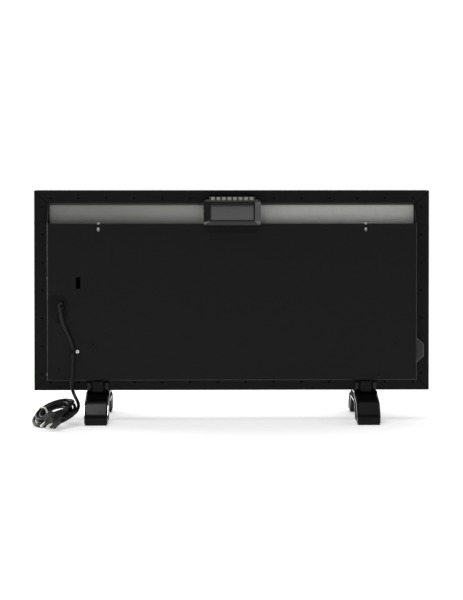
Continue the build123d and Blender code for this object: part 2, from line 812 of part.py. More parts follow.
cord_at_clip = (clip_x + 9.3, cover_y + clip_rail_sheet + clip_strap + contact_gap + cord_radius, clip_z)
clip_bore = cord_radius + contact_gap
with BuildPart() as cord_clip:
    clip_base_y = cover_y + clip_rail_sheet
    with BuildSketch(Plane.XY.offset(clip_z - clip_width / 2)):
        with Locations(cord_at_clip[:2]):
            Circle(clip_bore + clip_strap)
        with Locations(((clip_x - 5 + cord_at_clip[0]) / 2, clip_base_y + clip_strap / 2)):
            Rectangle(cord_at_clip[0] - clip_x + 5, clip_strap)
        with Locations(cord_at_clip[:2]):
            Circle(clip_bore, mode=Mode.SUBTRACT)
    extrude(amount=clip_width)
    with BuildSketch(back_plane(clip_base_y)):
        with Locations((clip_x, clip_z)):
            Circle(screw_hole_radius)
    extrude(amount=-clip_strap, mode=Mode.SUBTRACT)

# Feet: arched moulding with a saddle for the panel and a neck behind its flange
foot_half_depth = foot_depth / 2
saddle_rear_y = flange_y + 4
with BuildSketch(Plane.YZ) as foot_profile:
    with BuildLine():
        FilletPolyline(
            (foot_half_depth, pad_rise),
            (foot_half_depth, foot_toe_height),
            (foot_knee_y, foot_knee_z),
            (foot_shoulder_y, foot_shoulder_z),
            (saddle_rear_y, panel_clearance),
            (-saddle_rear_y, panel_clearance),
            (-foot_shoulder_y, foot_shoulder_z),
            (-foot_knee_y, foot_knee_z),
            (-foot_half_depth, foot_toe_height),
            (-foot_half_depth, pad_rise),
            radius=[14, 22, 8, 3, 3, 8, 22, 14],
        )
        Line((-foot_half_depth, pad_rise), (foot_arch_front_y, pad_rise))
        FilletPolyline(
            (foot_arch_front_y, pad_rise),
            (foot_arch_front_y + 27, foot_arch_z),
            (foot_arch_rear_y - 28, foot_arch_z),
            (foot_arch_rear_y, pad_rise),
            radius=12,
        )
        Line((foot_arch_rear_y, pad_rise), (foot_half_depth, pad_rise))
    make_face()

with BuildSketch(Plane.YZ) as trim_profile:
    add(foot_profile.sketch_local)
    offset(amount=-trim_inset)
with BuildSketch(Plane.YZ) as trim_floor:
    add(foot_profile.sketch_local)
    offset(amount=-trim_inset - trim_rim_width)

pad_places = (
    (foot_half_depth + foot_arch_rear_y) / 2,
    (-foot_half_depth + foot_arch_front_y) / 2,
)


def build_foot(x):
    """One foot at x: the moulding, and its pair of side trims."""
    with BuildPart() as foot:
        with BuildSketch(Plane.YZ.offset(x)):
            add(foot_profile.sketch_local)
        extrude(amount=foot_width / 2, both=True)
        rounded = foot.edges().filter_by(lambda e: abs(abs(e.center().X - x) - foot_width / 2) < 0.01)
        outer = rounded.filter_by(lambda e: e.center().Z > foot_toe_height and abs(e.center().Y) > foot_shoulder_y)
        chamfer(outer, foot_edge / 2)
        with BuildSketch(back_plane(flange_y)):
            with Locations((x, panel_clearance + neck_height / 2 - 4)):
                Rectangle(neck_width, neck_height + 8)
        extrude(amount=-neck_thickness)
        fillet(foot.edges().filter_by(Axis.Y).group_by(Axis.Z)[-1], 2)
        with BuildSketch(Plane.XY.offset(foot_arch_z)):
            with Locations((x, foot_screw_y), (x, -foot_screw_y)):
                Circle(foot_screw_head + contact_gap)
        extrude(amount=foot_screw_head_height + 1, mode=Mode.SUBTRACT)
        with BuildSketch(Plane.XY.offset(foot_arch_z)):
            with Locations((x, foot_screw_y), (x, -foot_screw_y)):
                Circle(foot_screw_hole)
        extrude(amount=panel_clearance, mode=Mode.SUBTRACT)
        with BuildSketch(Plane.XY.offset(pad_rise)):
            with Locations(*[(x, y) for y in pad_places]):
                Rectangle(pad_width + 2 * contact_gap, pad_length + 2 * contact_gap)
        extrude(amount=pad_height - pad_rise, mode=Mode.SUBTRACT)
    with BuildPart() as trims:
        for side in (-1, 1):
            with BuildSketch(Plane.YZ.offset(x + side * foot_width / 2)):
                add(trim_profile.sketch_local)
            extrude(amount=side * (trim_sheet + trim_rim))
            with BuildSketch(Plane.YZ.offset(x + side * (foot_width / 2 + trim_sheet))):
                add(trim_floor.sketch_local)
            extrude(amount=side * trim_rim, mode=Mode.SUBTRACT)
    return foot, trims


foot_left, foot_trims_left = build_foot(foot_x)
foot_right, foot_trims_right = build_foot(-foot_x)

with BuildPart() as foot_clips:
    for x in (foot_x, -foot_x):
        for side in (-1, 1):
            with BuildSketch(back_plane(flange_y)):
                with Locations((x + side * clip_lug_x, panel_clearance + clip_lug_height / 2 + 0.5)):
                    RectangleRounded(clip_lug_width, clip_lug_height, 3)
            extrude(amount=-clip_lug_depth)
    fillet(foot_clips.edges().filter_by(Axis.X).group_by(Axis.Y)[-1], 2)

with BuildPart() as foot_screws:
    for x in (foot_x, -foot_x):
        with BuildSketch(Plane.XY.offset(foot_arch_z + 1)):
            with Locations((x, foot_screw_y), (x, -foot_screw_y)):
                Circle(foot_screw_head)
        extrude(amount=foot_screw_head_height)
        with BuildSketch(Plane.XY.offset(foot_arch_z + 1)):
            with Locations((x, foot_screw_y), (x, -foot_screw_y)):
                Circle(foot_screw_radius)
        extrude(amount=panel_clearance + tray_sheet + nut_height + 1 - foot_arch_z - 1)

with BuildPart() as foot_nuts:
    with BuildSketch(Plane.XY.offset(panel_clearance + tray_sheet)):
        for x in (foot_x, -foot_x):
            with Locations((x, foot_screw_y), (x, -foot_screw_y)):
                RegularPolygon(nut_radius, 6)
                Circle(foot_screw_radius + 0.05, mode=Mode.SUBTRACT)
    extrude(amount=nut_height)

with BuildPart() as foot_pads:
    with BuildSketch(Plane.XY):
        for x in (foot_x, -foot_x):
            with Locations(*[(x, y) for y in pad_places]):
                Rectangle(pad_width, pad_length)
    extrude(amount=pad_height)

# Mains cord. The coil lies in a plane that leans towards the foot, its low side on the floor.
lean = Vector(
    sin(radians(coil_tilt)) * cos(radians(coil_lean)),
    sin(radians(coil_tilt)) * sin(radians(coil_lean)),
    cos(radians(coil_tilt)),
)
heading = Vector(cos(radians(coil_heading)), sin(radians(coil_heading)), 0)
coil_centre_z = cord_radius + floor_gap + coil_radius * sin(radians(coil_tilt))
coil_plane = Plane(
    origin=(coil_centre_x, coil_centre_y, coil_centre_z),
    x_dir=(heading - lean * heading.dot(lean)).normalized(),
    z_dir=lean,
)


def on_coil(x, y, z):
    """A point given along the coil's axis line, across it and above its lower layer."""
    return coil_plane.from_local_coords(Vector(x, y, z))


def biarc(start, start_way, end, end_way):
    """Two arcs that leave start along start_way, meet smoothly and reach end along end_way."""
    reach = end - start
    ways = start_way + end_way
    spread = 2 * (1 - start_way.dot(end_way))
    along = reach.dot(ways)
    leg = (sqrt(along**2 + spread * reach.dot(reach)) - along) / spread
    joint = (start + start_way * leg + end - end_way * leg) * 0.5
    TangentArc(start, joint, tangent=start_way)
    TangentArc(joint, end, tangent=end - end_way * leg - start - start_way * leg)




def bend_radii(points):
    """The radius of each corner of a route, from its shorter run and its turn."""
    radii = []
    for before, corner, after in zip(points, points[1:], points[2:]):
        turn = radians((corner - before).get_angle(after - corner))
        radii.append(0.45 * min((corner - before).length, (after - corner).length) / tan(turn / 2))
    return radii


# Free drop of the cord: out of the boot, through the clip, then down and back under the panel
drop_points = [
    Vector(cord_exit_x, boot_y, boot_end_z),
    Vector(cord_exit_x, boot_y, 222),
    Vector(354.6, 69, 199.5),
    Vector(345.9, 66, 180.5),
    Vector(cord_at_clip[0], cord_at_clip[1], 164),
    Vector(cord_at_clip[0], cord_at_clip[1], 137),
    Vector(340.8, 66, 111),
    Vector(342.5, 66.5, 91),
    Vector(341.5, 66, 73),
    Vector(335.4, 71.9, 58.3),
    Vector(329.3, 82.6, 49.8),
]
drop_way = (drop_points[-1] - drop_points[-2]).normalized()
drop_radii = bend_radii(drop_points)
with BuildPart() as cord_drop:
    with BuildLine() as drop_line:
        FilletPolyline(*drop_points, radius=drop_radii)
    with BuildSketch(Plane(origin=drop_points[0], z_dir=(0, 0, -1))):
        Circle(cord_radius)
    sweep(path=drop_line.wires()[0])

# Coil: half turns spiral in on the lower layer, the cord climbs in a quarter turn where the
# spiral reverses, and half turns spiral out again on the upper layer, to the plug
coil_way = coil_plane.y_dir * -1
coil_in = [coil_radius - coil_step * turn for turn in range(coil_turns)]
coil_ends = [end for radius in coil_in for end in (radius, -radius)]
climb_start = coil_radius - coil_step * coil_turns
climb_radius = (climb_start + coil_in[-1]) / 2
climb_middle = on_coil(climb_start - climb_radius, -climb_radius, coil_layer)
coil_back = [-coil_in[-1], coil_in[-1], -coil_in[-2], coil_in[-2]]
plug_start = Vector(*plug_rear)
plug_way = Vector(*plug_heading).normalized()
run_in = drop_points[-1] + drop_way * (2 * cord_radius)
run_out = plug_start - plug_way * (2 * cord_radius)
with BuildPart() as cord_coil:
    with BuildLine() as coil_line:
        Line(drop_points[-1], run_in)
        biarc(run_in, drop_way, on_coil(coil_ends[0], 0, 0), coil_way)
        way = coil_way
        for start, end in zip(coil_ends, coil_ends[1:] + [climb_start]):
            TangentArc(on_coil(start, 0, 0), on_coil(end, 0, 0), tangent=way)
            way = way * -1
        biarc(on_coil(climb_start, 0, 0), coil_way, climb_middle, coil_plane.x_dir * -1)
        TangentArc(climb_middle, on_coil(coil_back[0], 0, coil_layer), tangent=coil_plane.x_dir * -1)
        way = coil_way * -1
        for start, end in zip(coil_back, coil_back[1:]):
            TangentArc(on_coil(start, 0, coil_layer), on_coil(end, 0, coil_layer), tangent=way)
            way = way * -1
        biarc(on_coil(coil_back[-1], 0, coil_layer), coil_way, run_out, plug_way)
        Line(run_out, plug_start)
    with BuildSketch(Plane(origin=drop_points[-1], z_dir=drop_way)):
        Circle(cord_radius)
    sweep(path=coil_line.wires()[0])

# White tie round the bundle on the side of the foot
tie_turn = radians(tie_angle)
tie_plane = Plane(
    origin=coil_plane.origin,
    x_dir=coil_plane.x_dir * cos(tie_turn) + coil_plane.y_dir * sin(tie_turn),
    z_dir=coil_plane.y_dir * cos(tie_turn) - coil_plane.x_dir * sin(tie_turn),
)


def tie_crossing(start, end):
    """How far from the coil's centre a half turn between these ends crosses the tie."""
    centre = (start + end) / 2
    radius = abs(end - start) / 2
    return centre * cos(tie_turn) + sqrt(radius**2 - (centre * sin(tie_turn)) ** 2)


coil_side = -coil_plane.x_dir.cross(tie_plane.y_dir).dot(tie_plane.x_dir)
layer_sign = 1 if tie_plane.y_dir.dot(lean) > 0 else -1
tie_outer = tie_crossing(coil_ends[1], coil_ends[2])
tie_inner = tie_crossing(coil_ends[5], climb_start)
tie_marks = (
    (tie_outer, 0),
    (tie_inner, 0),
    (tie_crossing(coil_back[2], coil_back[3]), layer_sign * coil_layer),
    (tie_crossing(coil_back[0], coil_back[1]), layer_sign * coil_layer),
)
with BuildSketch(tie_plane) as tie_inside:
    with Locations(*tie_marks):
        Circle(cord_radius + tie_gap)
    make_hull()
with BuildPart() as cord_tie:
    with BuildSketch(tie_plane):
        with Locations(*tie_marks):
            Circle(cord_radius + tie_gap + tie_sheet)
        make_hull()
        add(tie_inside.sketch_local, mode=Mode.SUBTRACT)
    extrude(amount=tie_width / 2, both=True)

# Mains plug: tapered grip, round face, two pins and the earth clips in the sides of its face
plug_side = plug_way.cross(Vector(0, 0, 1)).normalized()
plug_plane = Plane(origin=plug_start, x_dir=plug_side, z_dir=plug_way)
with BuildPart() as plug_body:
    with BuildSketch(plug_plane):
        Circle(plug_relief_radius)
    with BuildSketch(plug_plane.offset(plug_length - plug_face_length - 4)):
        Circle(plug_grip_radius)
    loft()
    with BuildSketch(plug_plane.offset(plug_length - plug_face_length - 4)):
        Circle(plug_grip_radius)
    with BuildSketch(plug_plane.offset(plug_length - plug_face_length)):
        Circle(plug_face_radius)
    loft()
    with BuildSketch(plug_plane.offset(plug_length - plug_face_length)):
        Circle(plug_face_radius)
    extrude(amount=plug_face_length)
    with BuildSketch(plug_plane.offset(plug_length)):
        for side in (-1, 1):
            with Locations((0, side * plug_face_radius)):
                Rectangle(5, 6)
    extrude(amount=-plug_face_length, mode=Mode.SUBTRACT)
    with BuildSketch(plug_plane.offset(plug_length)):
        with GridLocations(pin_spacing, 1, 2, 1):
            Circle(pin_radius)
    extrude(amount=-pin_root, mode=Mode.SUBTRACT)

with BuildPart() as plug_pins:
    with BuildSketch(plug_plane.offset(plug_length - pin_root)):
        with GridLocations(pin_spacing, 1, 2, 1):
            Circle(pin_radius)
    extrude(amount=pin_root + pin_length)
    fillet(plug_pins.faces().sort_by(Axis(plug_start, plug_way))[-2:].edges(), 1.2)

with BuildPart() as plug_earth_clips:
    with BuildSketch(plug_plane.offset(plug_length - 1)):
        for side in (-1, 1):
            with Locations((0, side * (plug_face_radius - 2.4))):
                Rectangle(5, 1.2)
    extrude(amount=2 - plug_face_length)

for piece, name in (
    (glass_front, "glass_front"),
    (front_tray, "front_tray"),
    (mounting_frame, "mounting_frame"),
    (air_deflector, "air_deflector"),
    (rear_cover, "rear_cover"),
    (hanging_lugs, "hanging_lugs"),
    (cover_screws, "cover_screws"),
    (intake_grille, "intake_grille"),
    (heating_element, "heating_element"),
    (element_bushes, "element_bushes"),
    (element_brackets, "element_brackets"),
    (bracket_screws, "bracket_screws"),
    (casing_screws, "casing_screws"),
    (terminal_block, "terminal_block"),
    (tip_over_switch, "tip_over_switch"),
    (temperature_sensor, "temperature_sensor"),
    (thermal_cutout, "thermal_cutout"),
    (control_base, "control_base"),
    (control_housing, "control_housing"),
    (service_cover, "service_cover"),
    (control_bracket, "control_bracket"),
    (control_board, "control_board"),
    (switch_housing, "switch_housing"),
    (switch_body, "switch_body"),
    (switch_rocker, "switch_rocker"),
    (cord_entry_plate, "cord_entry_plate"),
    (cord_gland, "cord_gland"),
    (clip_rail, "clip_rail"),
    (cord_clip, "cord_clip"),
    (clip_screw, "clip_screw"),
    (foot_left, "foot_left"),
    (foot_right, "foot_right"),
    (foot_trims_left, "foot_trims_left"),
    (foot_trims_right, "foot_trims_right"),
    (foot_clips, "foot_clips"),
    (foot_screws, "foot_screws"),
    (foot_nuts, "foot_nuts"),
    (foot_pads, "foot_pads"),
    (cord_drop, "cord_drop"),
    (cord_coil, "cord_coil"),
    (cord_tie, "cord_tie"),
    (plug_body, "plug_body"),
    (plug_pins, "plug_pins"),
    (plug_earth_clips, "plug_earth_clips"),
):
    save(piece, name)


def turn_gap(line, step):
    """The least free distance between far parts of a tube, measured on points of its line."""
    length = line.length
    count = int(length / step)
    points = [line.position_at(i / count) for i in range(count + 1)]
    skip = int(14 * cord_radius / step)
    gaps = [
        (points[i] - points[j]).length
        for i in range(count + 1)
        for j in range(i + skip, count + 1)
    ]
    return min(gaps) - 2 * cord_radius


section = pi * cord_radius**2
print("drop radii", [round(radius, 1) for radius in drop_radii])
print("drop length", drop_line.wires()[0].length, "volume ratio", cord_drop.part.volume / section / drop_line.wires()[0].length)
print("coil length", coil_line.wires()[0].length, "volume ratio", cord_coil.part.volume / section / coil_line.wires()[0].length)
print("coil gap", turn_gap(coil_line.wires()[0], 3))
print("coil lowest", cord_coil.part.bounding_box().min.Z, "plug lowest", plug_body.part.bounding_box().min.Z)
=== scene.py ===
"""Looks of a panel convector heater on arched feet, seen from behind.

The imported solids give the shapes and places. This script adds the mains cord on its real
route, the plates behind the outlet, the small fixings that are too fine for the solids, and a
procedural finish for each piece. Lengths are in metres, +Z is up and +Y is the back of the
heater.
"""

import logging
import math
from dataclasses import dataclass, field
from enum import Enum
from typing import Callable, Sequence, Union

import bmesh
import bpy
import numpy as np
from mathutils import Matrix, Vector


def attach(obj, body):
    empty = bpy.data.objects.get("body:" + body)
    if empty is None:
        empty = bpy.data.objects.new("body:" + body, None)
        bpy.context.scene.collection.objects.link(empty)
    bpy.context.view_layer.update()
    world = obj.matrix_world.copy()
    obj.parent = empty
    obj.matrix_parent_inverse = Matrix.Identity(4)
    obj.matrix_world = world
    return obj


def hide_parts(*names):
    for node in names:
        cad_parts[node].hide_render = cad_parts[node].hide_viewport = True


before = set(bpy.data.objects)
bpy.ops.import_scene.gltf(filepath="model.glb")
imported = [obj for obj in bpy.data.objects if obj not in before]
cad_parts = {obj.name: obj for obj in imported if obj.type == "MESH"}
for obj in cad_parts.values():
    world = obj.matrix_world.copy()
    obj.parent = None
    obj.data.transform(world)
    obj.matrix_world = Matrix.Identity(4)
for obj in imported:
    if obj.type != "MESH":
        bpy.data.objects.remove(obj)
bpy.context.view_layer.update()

log = logging.getLogger("heater")
Pair = tuple[float, float]
Triple = tuple[float, float, float]
Input = Union["Socket", float, Sequence[float]]

# Numbers of the colour sockets of the Mix node
MIX_FACTOR, MIX_FIRST, MIX_SECOND, MIX_RESULT = 0, 6, 7, 2

# Grain shared by all finishes: scales in features per metre, shares of the tint, and the
# spans of noise that the roughness follows
NOISE_ROUGHNESS = 0.55
WANDER_SCALE = 14.0
SPANGLE_SCALE = 60.0
SPANGLE_STRETCH = (1.0, 1.0, 14.0)
ROLLED_STRETCH = (0.05, 1.0, 1.0)
COARSE_SHARE, FINE_SHARE = 0.6, 0.4
LINE_RANGE = (0.2, 0.8)
WANDER_RANGE = (0.25, 0.75)

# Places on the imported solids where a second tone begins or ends
COVER_SIDE_X = 0.3942
COVER_FOOT_Z = 0.0898
COVER_BACK_Y = 0.0575
FOOT_X = 0.288
TRIM_HALF = 0.0246
SHADED_Z = (0.4598, 0.4642)
PAINTED_SHADE_X = (-0.25, 0.36)
RIM_BACK_Y = 0.0756
COMB_FOOT_Z = 0.4706
SILL_TOP_Z = 0.4289
SILL_BACK_Y = 0.0645

# A direction with more Z than this takes Y for its up
STEEP = 0.9


# Node graph


class Socket:
    """An output in a material's node tree that adds, multiplies and mixes like a number."""

    def __init__(self, graph: "Graph", source: bpy.types.NodeSocket | None) -> None:
        """Keep the output.

        Args:
            graph: The tree that the output belongs to.
            source: The output socket itself, or nothing for a node that ends the tree.
        """
        self.graph = graph
        self.source = source

    def _math(self, operation: str, *values: Input) -> "Socket":
        """Return the result of one math node on these values."""
        return self.graph.node("ShaderNodeMath", inputs=dict(enumerate(values)), operation=operation)

    def __add__(self, other: Input) -> "Socket":
        """Return the sum."""
        return self._math("ADD", self, other)

    __radd__ = __add__

    def __sub__(self, other: Input) -> "Socket":
        """Return this value less the other."""
        return self._math("SUBTRACT", self, other)

    def __rsub__(self, other: Input) -> "Socket":
        """Return the other value less this one."""
        return self._math("SUBTRACT", other, self)

    def __mul__(self, other: Input) -> "Socket":
        """Return the product."""
        return self._math("MULTIPLY", self, other)

    __rmul__ = __mul__

    def __gt__(self, other: Input) -> "Socket":
        """Return one where this value is the larger."""
        return self._math("GREATER_THAN", self, other)

    def __lt__(self, other: Input) -> "Socket":
        """Return one where this value is the smaller."""
        return self._math("LESS_THAN", self, other)

    def size(self) -> "Socket":
        """Return this value without its sign."""
        return self._math("ABSOLUTE", self)

    def span(self, low: float, high: float, out_low: float = 0.0, out_high: float = 1.0) -> "Socket":
        """Map a span of this value smoothly onto another span.

        Args:
            low: Value that becomes out_low.
            high: Value that becomes out_high.
            out_low: Result at and below low.
            out_high: Result at and above high.

        Returns:
            The mapped value.
        """
        inputs = {
            "Value": self,
            "From Min": low,
            "From Max": high,
            "To Min": out_low,
            "To Max": out_high,
        }
        return self.graph.node("ShaderNodeMapRange", inputs=inputs, interpolation_type="SMOOTHSTEP")


class Graph:
    """One material's or world's node tree."""

    def __init__(self, tree: bpy.types.NodeTree) -> None:
        """Empty the tree.

        Args:
            tree: The node tree to fill.
        """
        self.tree = tree
        self.tree.nodes.clear()

    def node(
        self, kind: str, inputs: dict | None = None, output: int | str = 0, **settings: object
    ) -> Socket:
        """Make any node.

        Args:
            kind: Blender's identifier of the node.
            inputs: Values or sockets for its inputs, by name or number.
            output: The output that is returned, by name or number.
            settings: Properties of the node itself.

        Returns:
            The chosen output.
        """
        made = self.tree.nodes.new(kind)
        for name, value in settings.items():
            setattr(made, name, value)
        for key, value in (inputs or {}).items():
            if isinstance(value, Socket):
                self.tree.links.new(value.source, made.inputs[key])
            else:
                made.inputs[key].default_value = value
        return Socket(self, made.outputs[output] if len(made.outputs) else None)

    def place(self) -> Socket:
        """Return the object coordinates, in metres."""
        return self.node("ShaderNodeTexCoord", output="Object")

    def axes(self, vector: Socket) -> tuple[Socket, Socket, Socket]:
        """Split a vector.

        Args:
            vector: The vector to split.

        Returns:
            Its X, Y and Z parts.
        """
        parts = self.node("ShaderNodeSeparateXYZ", {0: vector})
        outputs = parts.source.node.outputs
        return tuple(Socket(self, outputs[i]) for i in range(3))

    def noise(
        self, vector: Socket, scale: float, detail: float = 2.0, stretch: Triple = (1, 1, 1)
    ) -> Socket:
        """Return a soft noise from 0 to 1.

        Args:
            vector: Where it is sampled.
            scale: Features per metre.
            detail: Octaves of finer noise.
            stretch: Scale of each axis, for grain that runs one way.

        Returns:
            The noise value.
        """
        at = self.node("ShaderNodeMapping", {"Vector": vector, "Scale": stretch})
        inputs = {"Vector": at, "Scale": scale, "Detail": detail, "Roughness": NOISE_ROUGHNESS}
        return self.node("ShaderNodeTexNoise", inputs)

    def blend(self, factor: Input, first: Input, second: Input) -> Socket:
        """Mix two colours.

        Args:
            factor: Zero for the first colour, one for the second.
            first: The first colour.
            second: The second colour.

        Returns:
            The mixed colour.
        """
        inputs = {MIX_FACTOR: factor, MIX_FIRST: first, MIX_SECOND: second}
        return self.node("ShaderNodeMix", inputs, output=MIX_RESULT, data_type="RGBA")


# Finishes


class Texture(Enum):
    """How a surface was made, which decides its grain."""

    POWDER = "powder coat"
    MOULDED = "moulded plastic"
    POLISHED = "polished plastic"
    SPANGLE = "galvanised sheet"
    BRUSHED = "rolled or turned metal"
    PLATED = "mirror plating"
    SHEATH = "extruded sheath"


def painted_edge_highlight(x: Socket, y: Socket, z: Socket) -> Socket:
    """Return one along the cover's folded rear edges, where a lighter colour is a painted highlight of
    the bends catching the light, under a clear coat.
    """
    return ((x.size() > COVER_SIDE_X) + (z < COVER_FOOT_Z)) * (y > COVER_BACK_Y)


def trim_plate(x: Socket, y: Socket, z: Socket) -> Socket:
    """Return one on the dark plates of the foot trims, between their bright rims."""
    return (x.size() - FOOT_X).size() < TRIM_HALF


def painted_flange_shadow(x: Socket, y: Socket, z: Socket) -> Socket:
    """Return one on the strip of the deflector under the flange, darkened as a painted shadow of the
    flange and the frame.
    """
    return z.span(*SHADED_Z)


def painted_end_shade(x: Socket, y: Socket, z: Socket) -> Socket:
    """Return how far the sheet is darkened towards its left end, a painted shade of the light that falls
    from the right.
    """
    return x.span(*PAINTED_SHADE_X)


def housing_rim(x: Socket, y: Socket, z: Socket) -> Socket:
    """Return one on the housing's flat rim round its insert, and on its top with the comb."""
    return 1 - (1 - (y > RIM_BACK_Y)) * (1 - (z > COMB_FOOT_Z))


def painted_sill_highlight(x: Socket, y: Socket, z: Socket) -> Socket:
    """Return one on the bevel under the insert, whose lighter colour is a painted highlight of the light
    that it catches.
    """
    return (z < SILL_TOP_Z) * (y > SILL_BACK_Y)


@dataclass(frozen=True)
class Tone:
    """A second tone on part of a surface.

    Attributes:
        where: Gives one where the second tone lies, from the three coordinates in metres.
        color: Linear base colour there.
        metallic: One for bare metal there.
        coat: Weight of the clear top layer there.
        roughness: Roughness there, or nothing to leave it.
    """

    where: Callable[[Socket, Socket, Socket], Socket]
    color: Triple
    metallic: float = 0.0
    coat: float = 0.0
    roughness: float | None = None


@dataclass(frozen=True)
class Finish:
    """One procedural surface.

    Attributes:
        name: Name of the material.
        texture: How the surface was made.
        color: Linear base colour.
        roughness: Mean roughness.
        metallic: One for bare metal.
        coat: Weight of a clear top layer.
        coat_roughness: Roughness of that layer.
        specular: Specular level of the base layer.
        bump: Height of the grain, in metres.
        grain: Grain features per metre.
        mottle: How far the colour wanders, as a share of itself.
        smear: How far the roughness wanders.
        glow: Strength of its own even light.
        tones: Other tones on parts of it.
    """

    name: str
    texture: Texture
    color: Triple
    roughness: float
    metallic: float = 0.0
    coat: float = 0.0
    coat_roughness: float = 0.02
    specular: float = 0.5
    bump: float = 0.00002
    grain: float = 900.0
    mottle: float = 0.12
    smear: float = 0.06
    glow: float = 0.0
    tones: tuple[Tone, ...] = ()

    def material(self) -> bpy.types.Material:
        """Make the material, or find it where it is made already.

        Returns:
            The material.
        """
        known = bpy.data.materials.get(self.name)
        if known:
            return known
        made = bpy.data.materials.new(self.name)
        made.use_nodes = True
        graph = Graph(made.node_tree)
        place = graph.place()
        tint, height, rough = self._grain(graph, place)
        low = tuple(c * (1 - self.mottle) for c in self.color) + (1.0,)
        high = tuple(min(1.0, c * (1 + self.mottle)) for c in self.color) + (1.0,)
        relief = {"Strength": 1.0, "Distance": self.bump, "Height": height}
        bump = graph.node("ShaderNodeBump", relief)
        color, metallic, coat = graph.blend(tint, low, high), self.metallic, self.coat
        for tone in self.tones:
            mask = tone.where(*graph.axes(place))
            color = graph.blend(mask, color, (*tone.color, 1.0))
            metallic = (1 - mask) * metallic + mask * tone.metallic
            coat = (1 - mask) * coat + mask * tone.coat
            if tone.roughness is not None:
                rough = (1 - mask) * rough + mask * tone.roughness
        shader = graph.node(
            "ShaderNodeBsdfPrincipled",
            {
                "Base Color": color,
                "Roughness": rough,
                "Metallic": metallic,
                "Coat Weight": coat,
                "Coat Roughness": self.coat_roughness,
                "Specular IOR Level": self.specular,
                "Emission Color": (1.0, 1.0, 1.0, 1.0),
                "Emission Strength": self.glow,
                "Normal": bump,
            },
        )
        graph.node("ShaderNodeOutputMaterial", {"Surface": shader})
        return made

    def _grain(self, graph: Graph, place: Socket) -> tuple[Socket, Socket, Socket]:
        """Make the grain: crystals, drawn lines, or a fine noise on a wide one.

        Args:
            graph: The material's tree.
            place: The coordinates in metres.

        Returns:
            The tint, the height and the roughness, the first two from 0 to 1.
        """
        smooth, dull = self.roughness - self.smear, self.roughness + self.smear
        if self.texture is Texture.SPANGLE:
            crystals = {"Vector": place, "Scale": self.grain}
            tone, _, _ = graph.axes(graph.node("ShaderNodeTexVoronoi", crystals, output="Color"))
            fine = graph.noise(place, SPANGLE_SCALE, 4.0, SPANGLE_STRETCH)
            tint = tone * COARSE_SHARE + fine * FINE_SHARE
            return tint, fine, tone.span(0.0, 1.0, smooth, dull)
        wide = graph.noise(place, WANDER_SCALE, 3.0)
        if self.texture is Texture.BRUSHED:
            lines = graph.noise(place, self.grain, 2.0, ROLLED_STRETCH)
            return lines, lines, wide.span(*LINE_RANGE, smooth, dull)
        fine = graph.noise(place, self.grain, 2.0)
        tint = wide * COARSE_SHARE + fine * FINE_SHARE
        return tint, fine, wide.span(*WANDER_RANGE, smooth, dull)


POWDER_TRAY = Finish(
    "tray powder coat",
    Texture.POWDER,
    (0.0045, 0.0045, 0.005),
    0.42,
    specular=0.14,
    bump=0.00003,
    smear=0.02,
)
POWDER_COVER = Finish(
    "cover powder coat",
    Texture.POWDER,
    (0.005, 0.005, 0.0055),
    0.4,
    specular=0.155,
    bump=0.00003,
    smear=0.02,
    # The lighter colour on the folded edges is a painted highlight.
    tones=(Tone(painted_edge_highlight, (0.014, 0.014, 0.014), coat=0.45),),
)
BLACK_GLASS = Finish(
    "black glass", Texture.POLISHED, (0.004, 0.004, 0.005), 0.05, coat=0.2, bump=0.000001
)
GALVANISED = Finish(
    "galvanised sheet", Texture.SPANGLE, (0.2, 0.2, 0.19), 0.5, 0.2, grain=90.0, mottle=0.06
)
OUTLET_SHEET = Finish(
    "outlet sheet",
    Texture.SPANGLE,
    (0.6, 0.6, 0.575),
    0.5,
    0.25,
    grain=90.0,
    mottle=0.06,
    tones=(
        # Painted shade: the sheet darkens towards its left end.
        Tone(painted_end_shade, (0.3, 0.3, 0.285), 0.25),
        # Painted shadow of the flange and the frame on the top of the sheet.
        Tone(painted_flange_shadow, (0.02, 0.02, 0.02), 0.1),
    ),
)
ZINC = Finish("bright zinc", Texture.BRUSHED, (0.92, 0.92, 0.92), 0.3, 0.4, grain=700.0)
STEEL = Finish("screw steel", Texture.BRUSHED, (0.6, 0.6, 0.6), 0.35, 1.0, grain=900.0)
BLACK_SCREW = Finish("black screw", Texture.MOULDED, (0.004, 0.004, 0.004), 0.4, specular=0.2)
ALUMINIUM = Finish("extruded aluminium", Texture.BRUSHED, (0.75, 0.75, 0.75), 0.45, 1.0, grain=500.0)
CERAMIC = Finish("bush ceramic", Texture.MOULDED, (0.7, 0.68, 0.62), 0.6)
PALE_PLASTIC = Finish("pale plastic", Texture.MOULDED, (0.6, 0.6, 0.56), 0.5)
INNER_PLASTIC = Finish("inner plastic", Texture.MOULDED, (0.04, 0.04, 0.04), 0.5)
BOARD = Finish("circuit board", Texture.MOULDED, (0.02, 0.12, 0.05), 0.4)
MATTE_BLACK = Finish(
    "matte black plastic", Texture.MOULDED, (0.004, 0.004, 0.004), 0.45, specular=0.13, grain=1400.0
)
GLOSS_BLACK = Finish(
    "gloss black plastic",
    Texture.POLISHED,
    (0.004, 0.004, 0.005),
    0.04,
    coat=1.0,
    specular=0.25,
    bump=0.0000002,
    smear=0.01,
    tones=(
        Tone(housing_rim, (0.002, 0.002, 0.002), roughness=0.6),
        # Painted highlight: the bevel under the insert is lightened.
        Tone(painted_sill_highlight, (0.05, 0.05, 0.05), coat=1.0),
    ),
)
SATIN_INSERT = Finish(
    "satin insert", Texture.POLISHED, (0.006, 0.006, 0.006), 0.02, coat=1.0, bump=0.0000001, smear=0.005
)
SWITCH_BLACK = Finish("switch black", Texture.MOULDED, (0.008, 0.008, 0.009), 0.3, specular=0.4)
ROCKER_BLACK = Finish("rocker black", Texture.POLISHED, (0.008, 0.008, 0.008), 0.22)
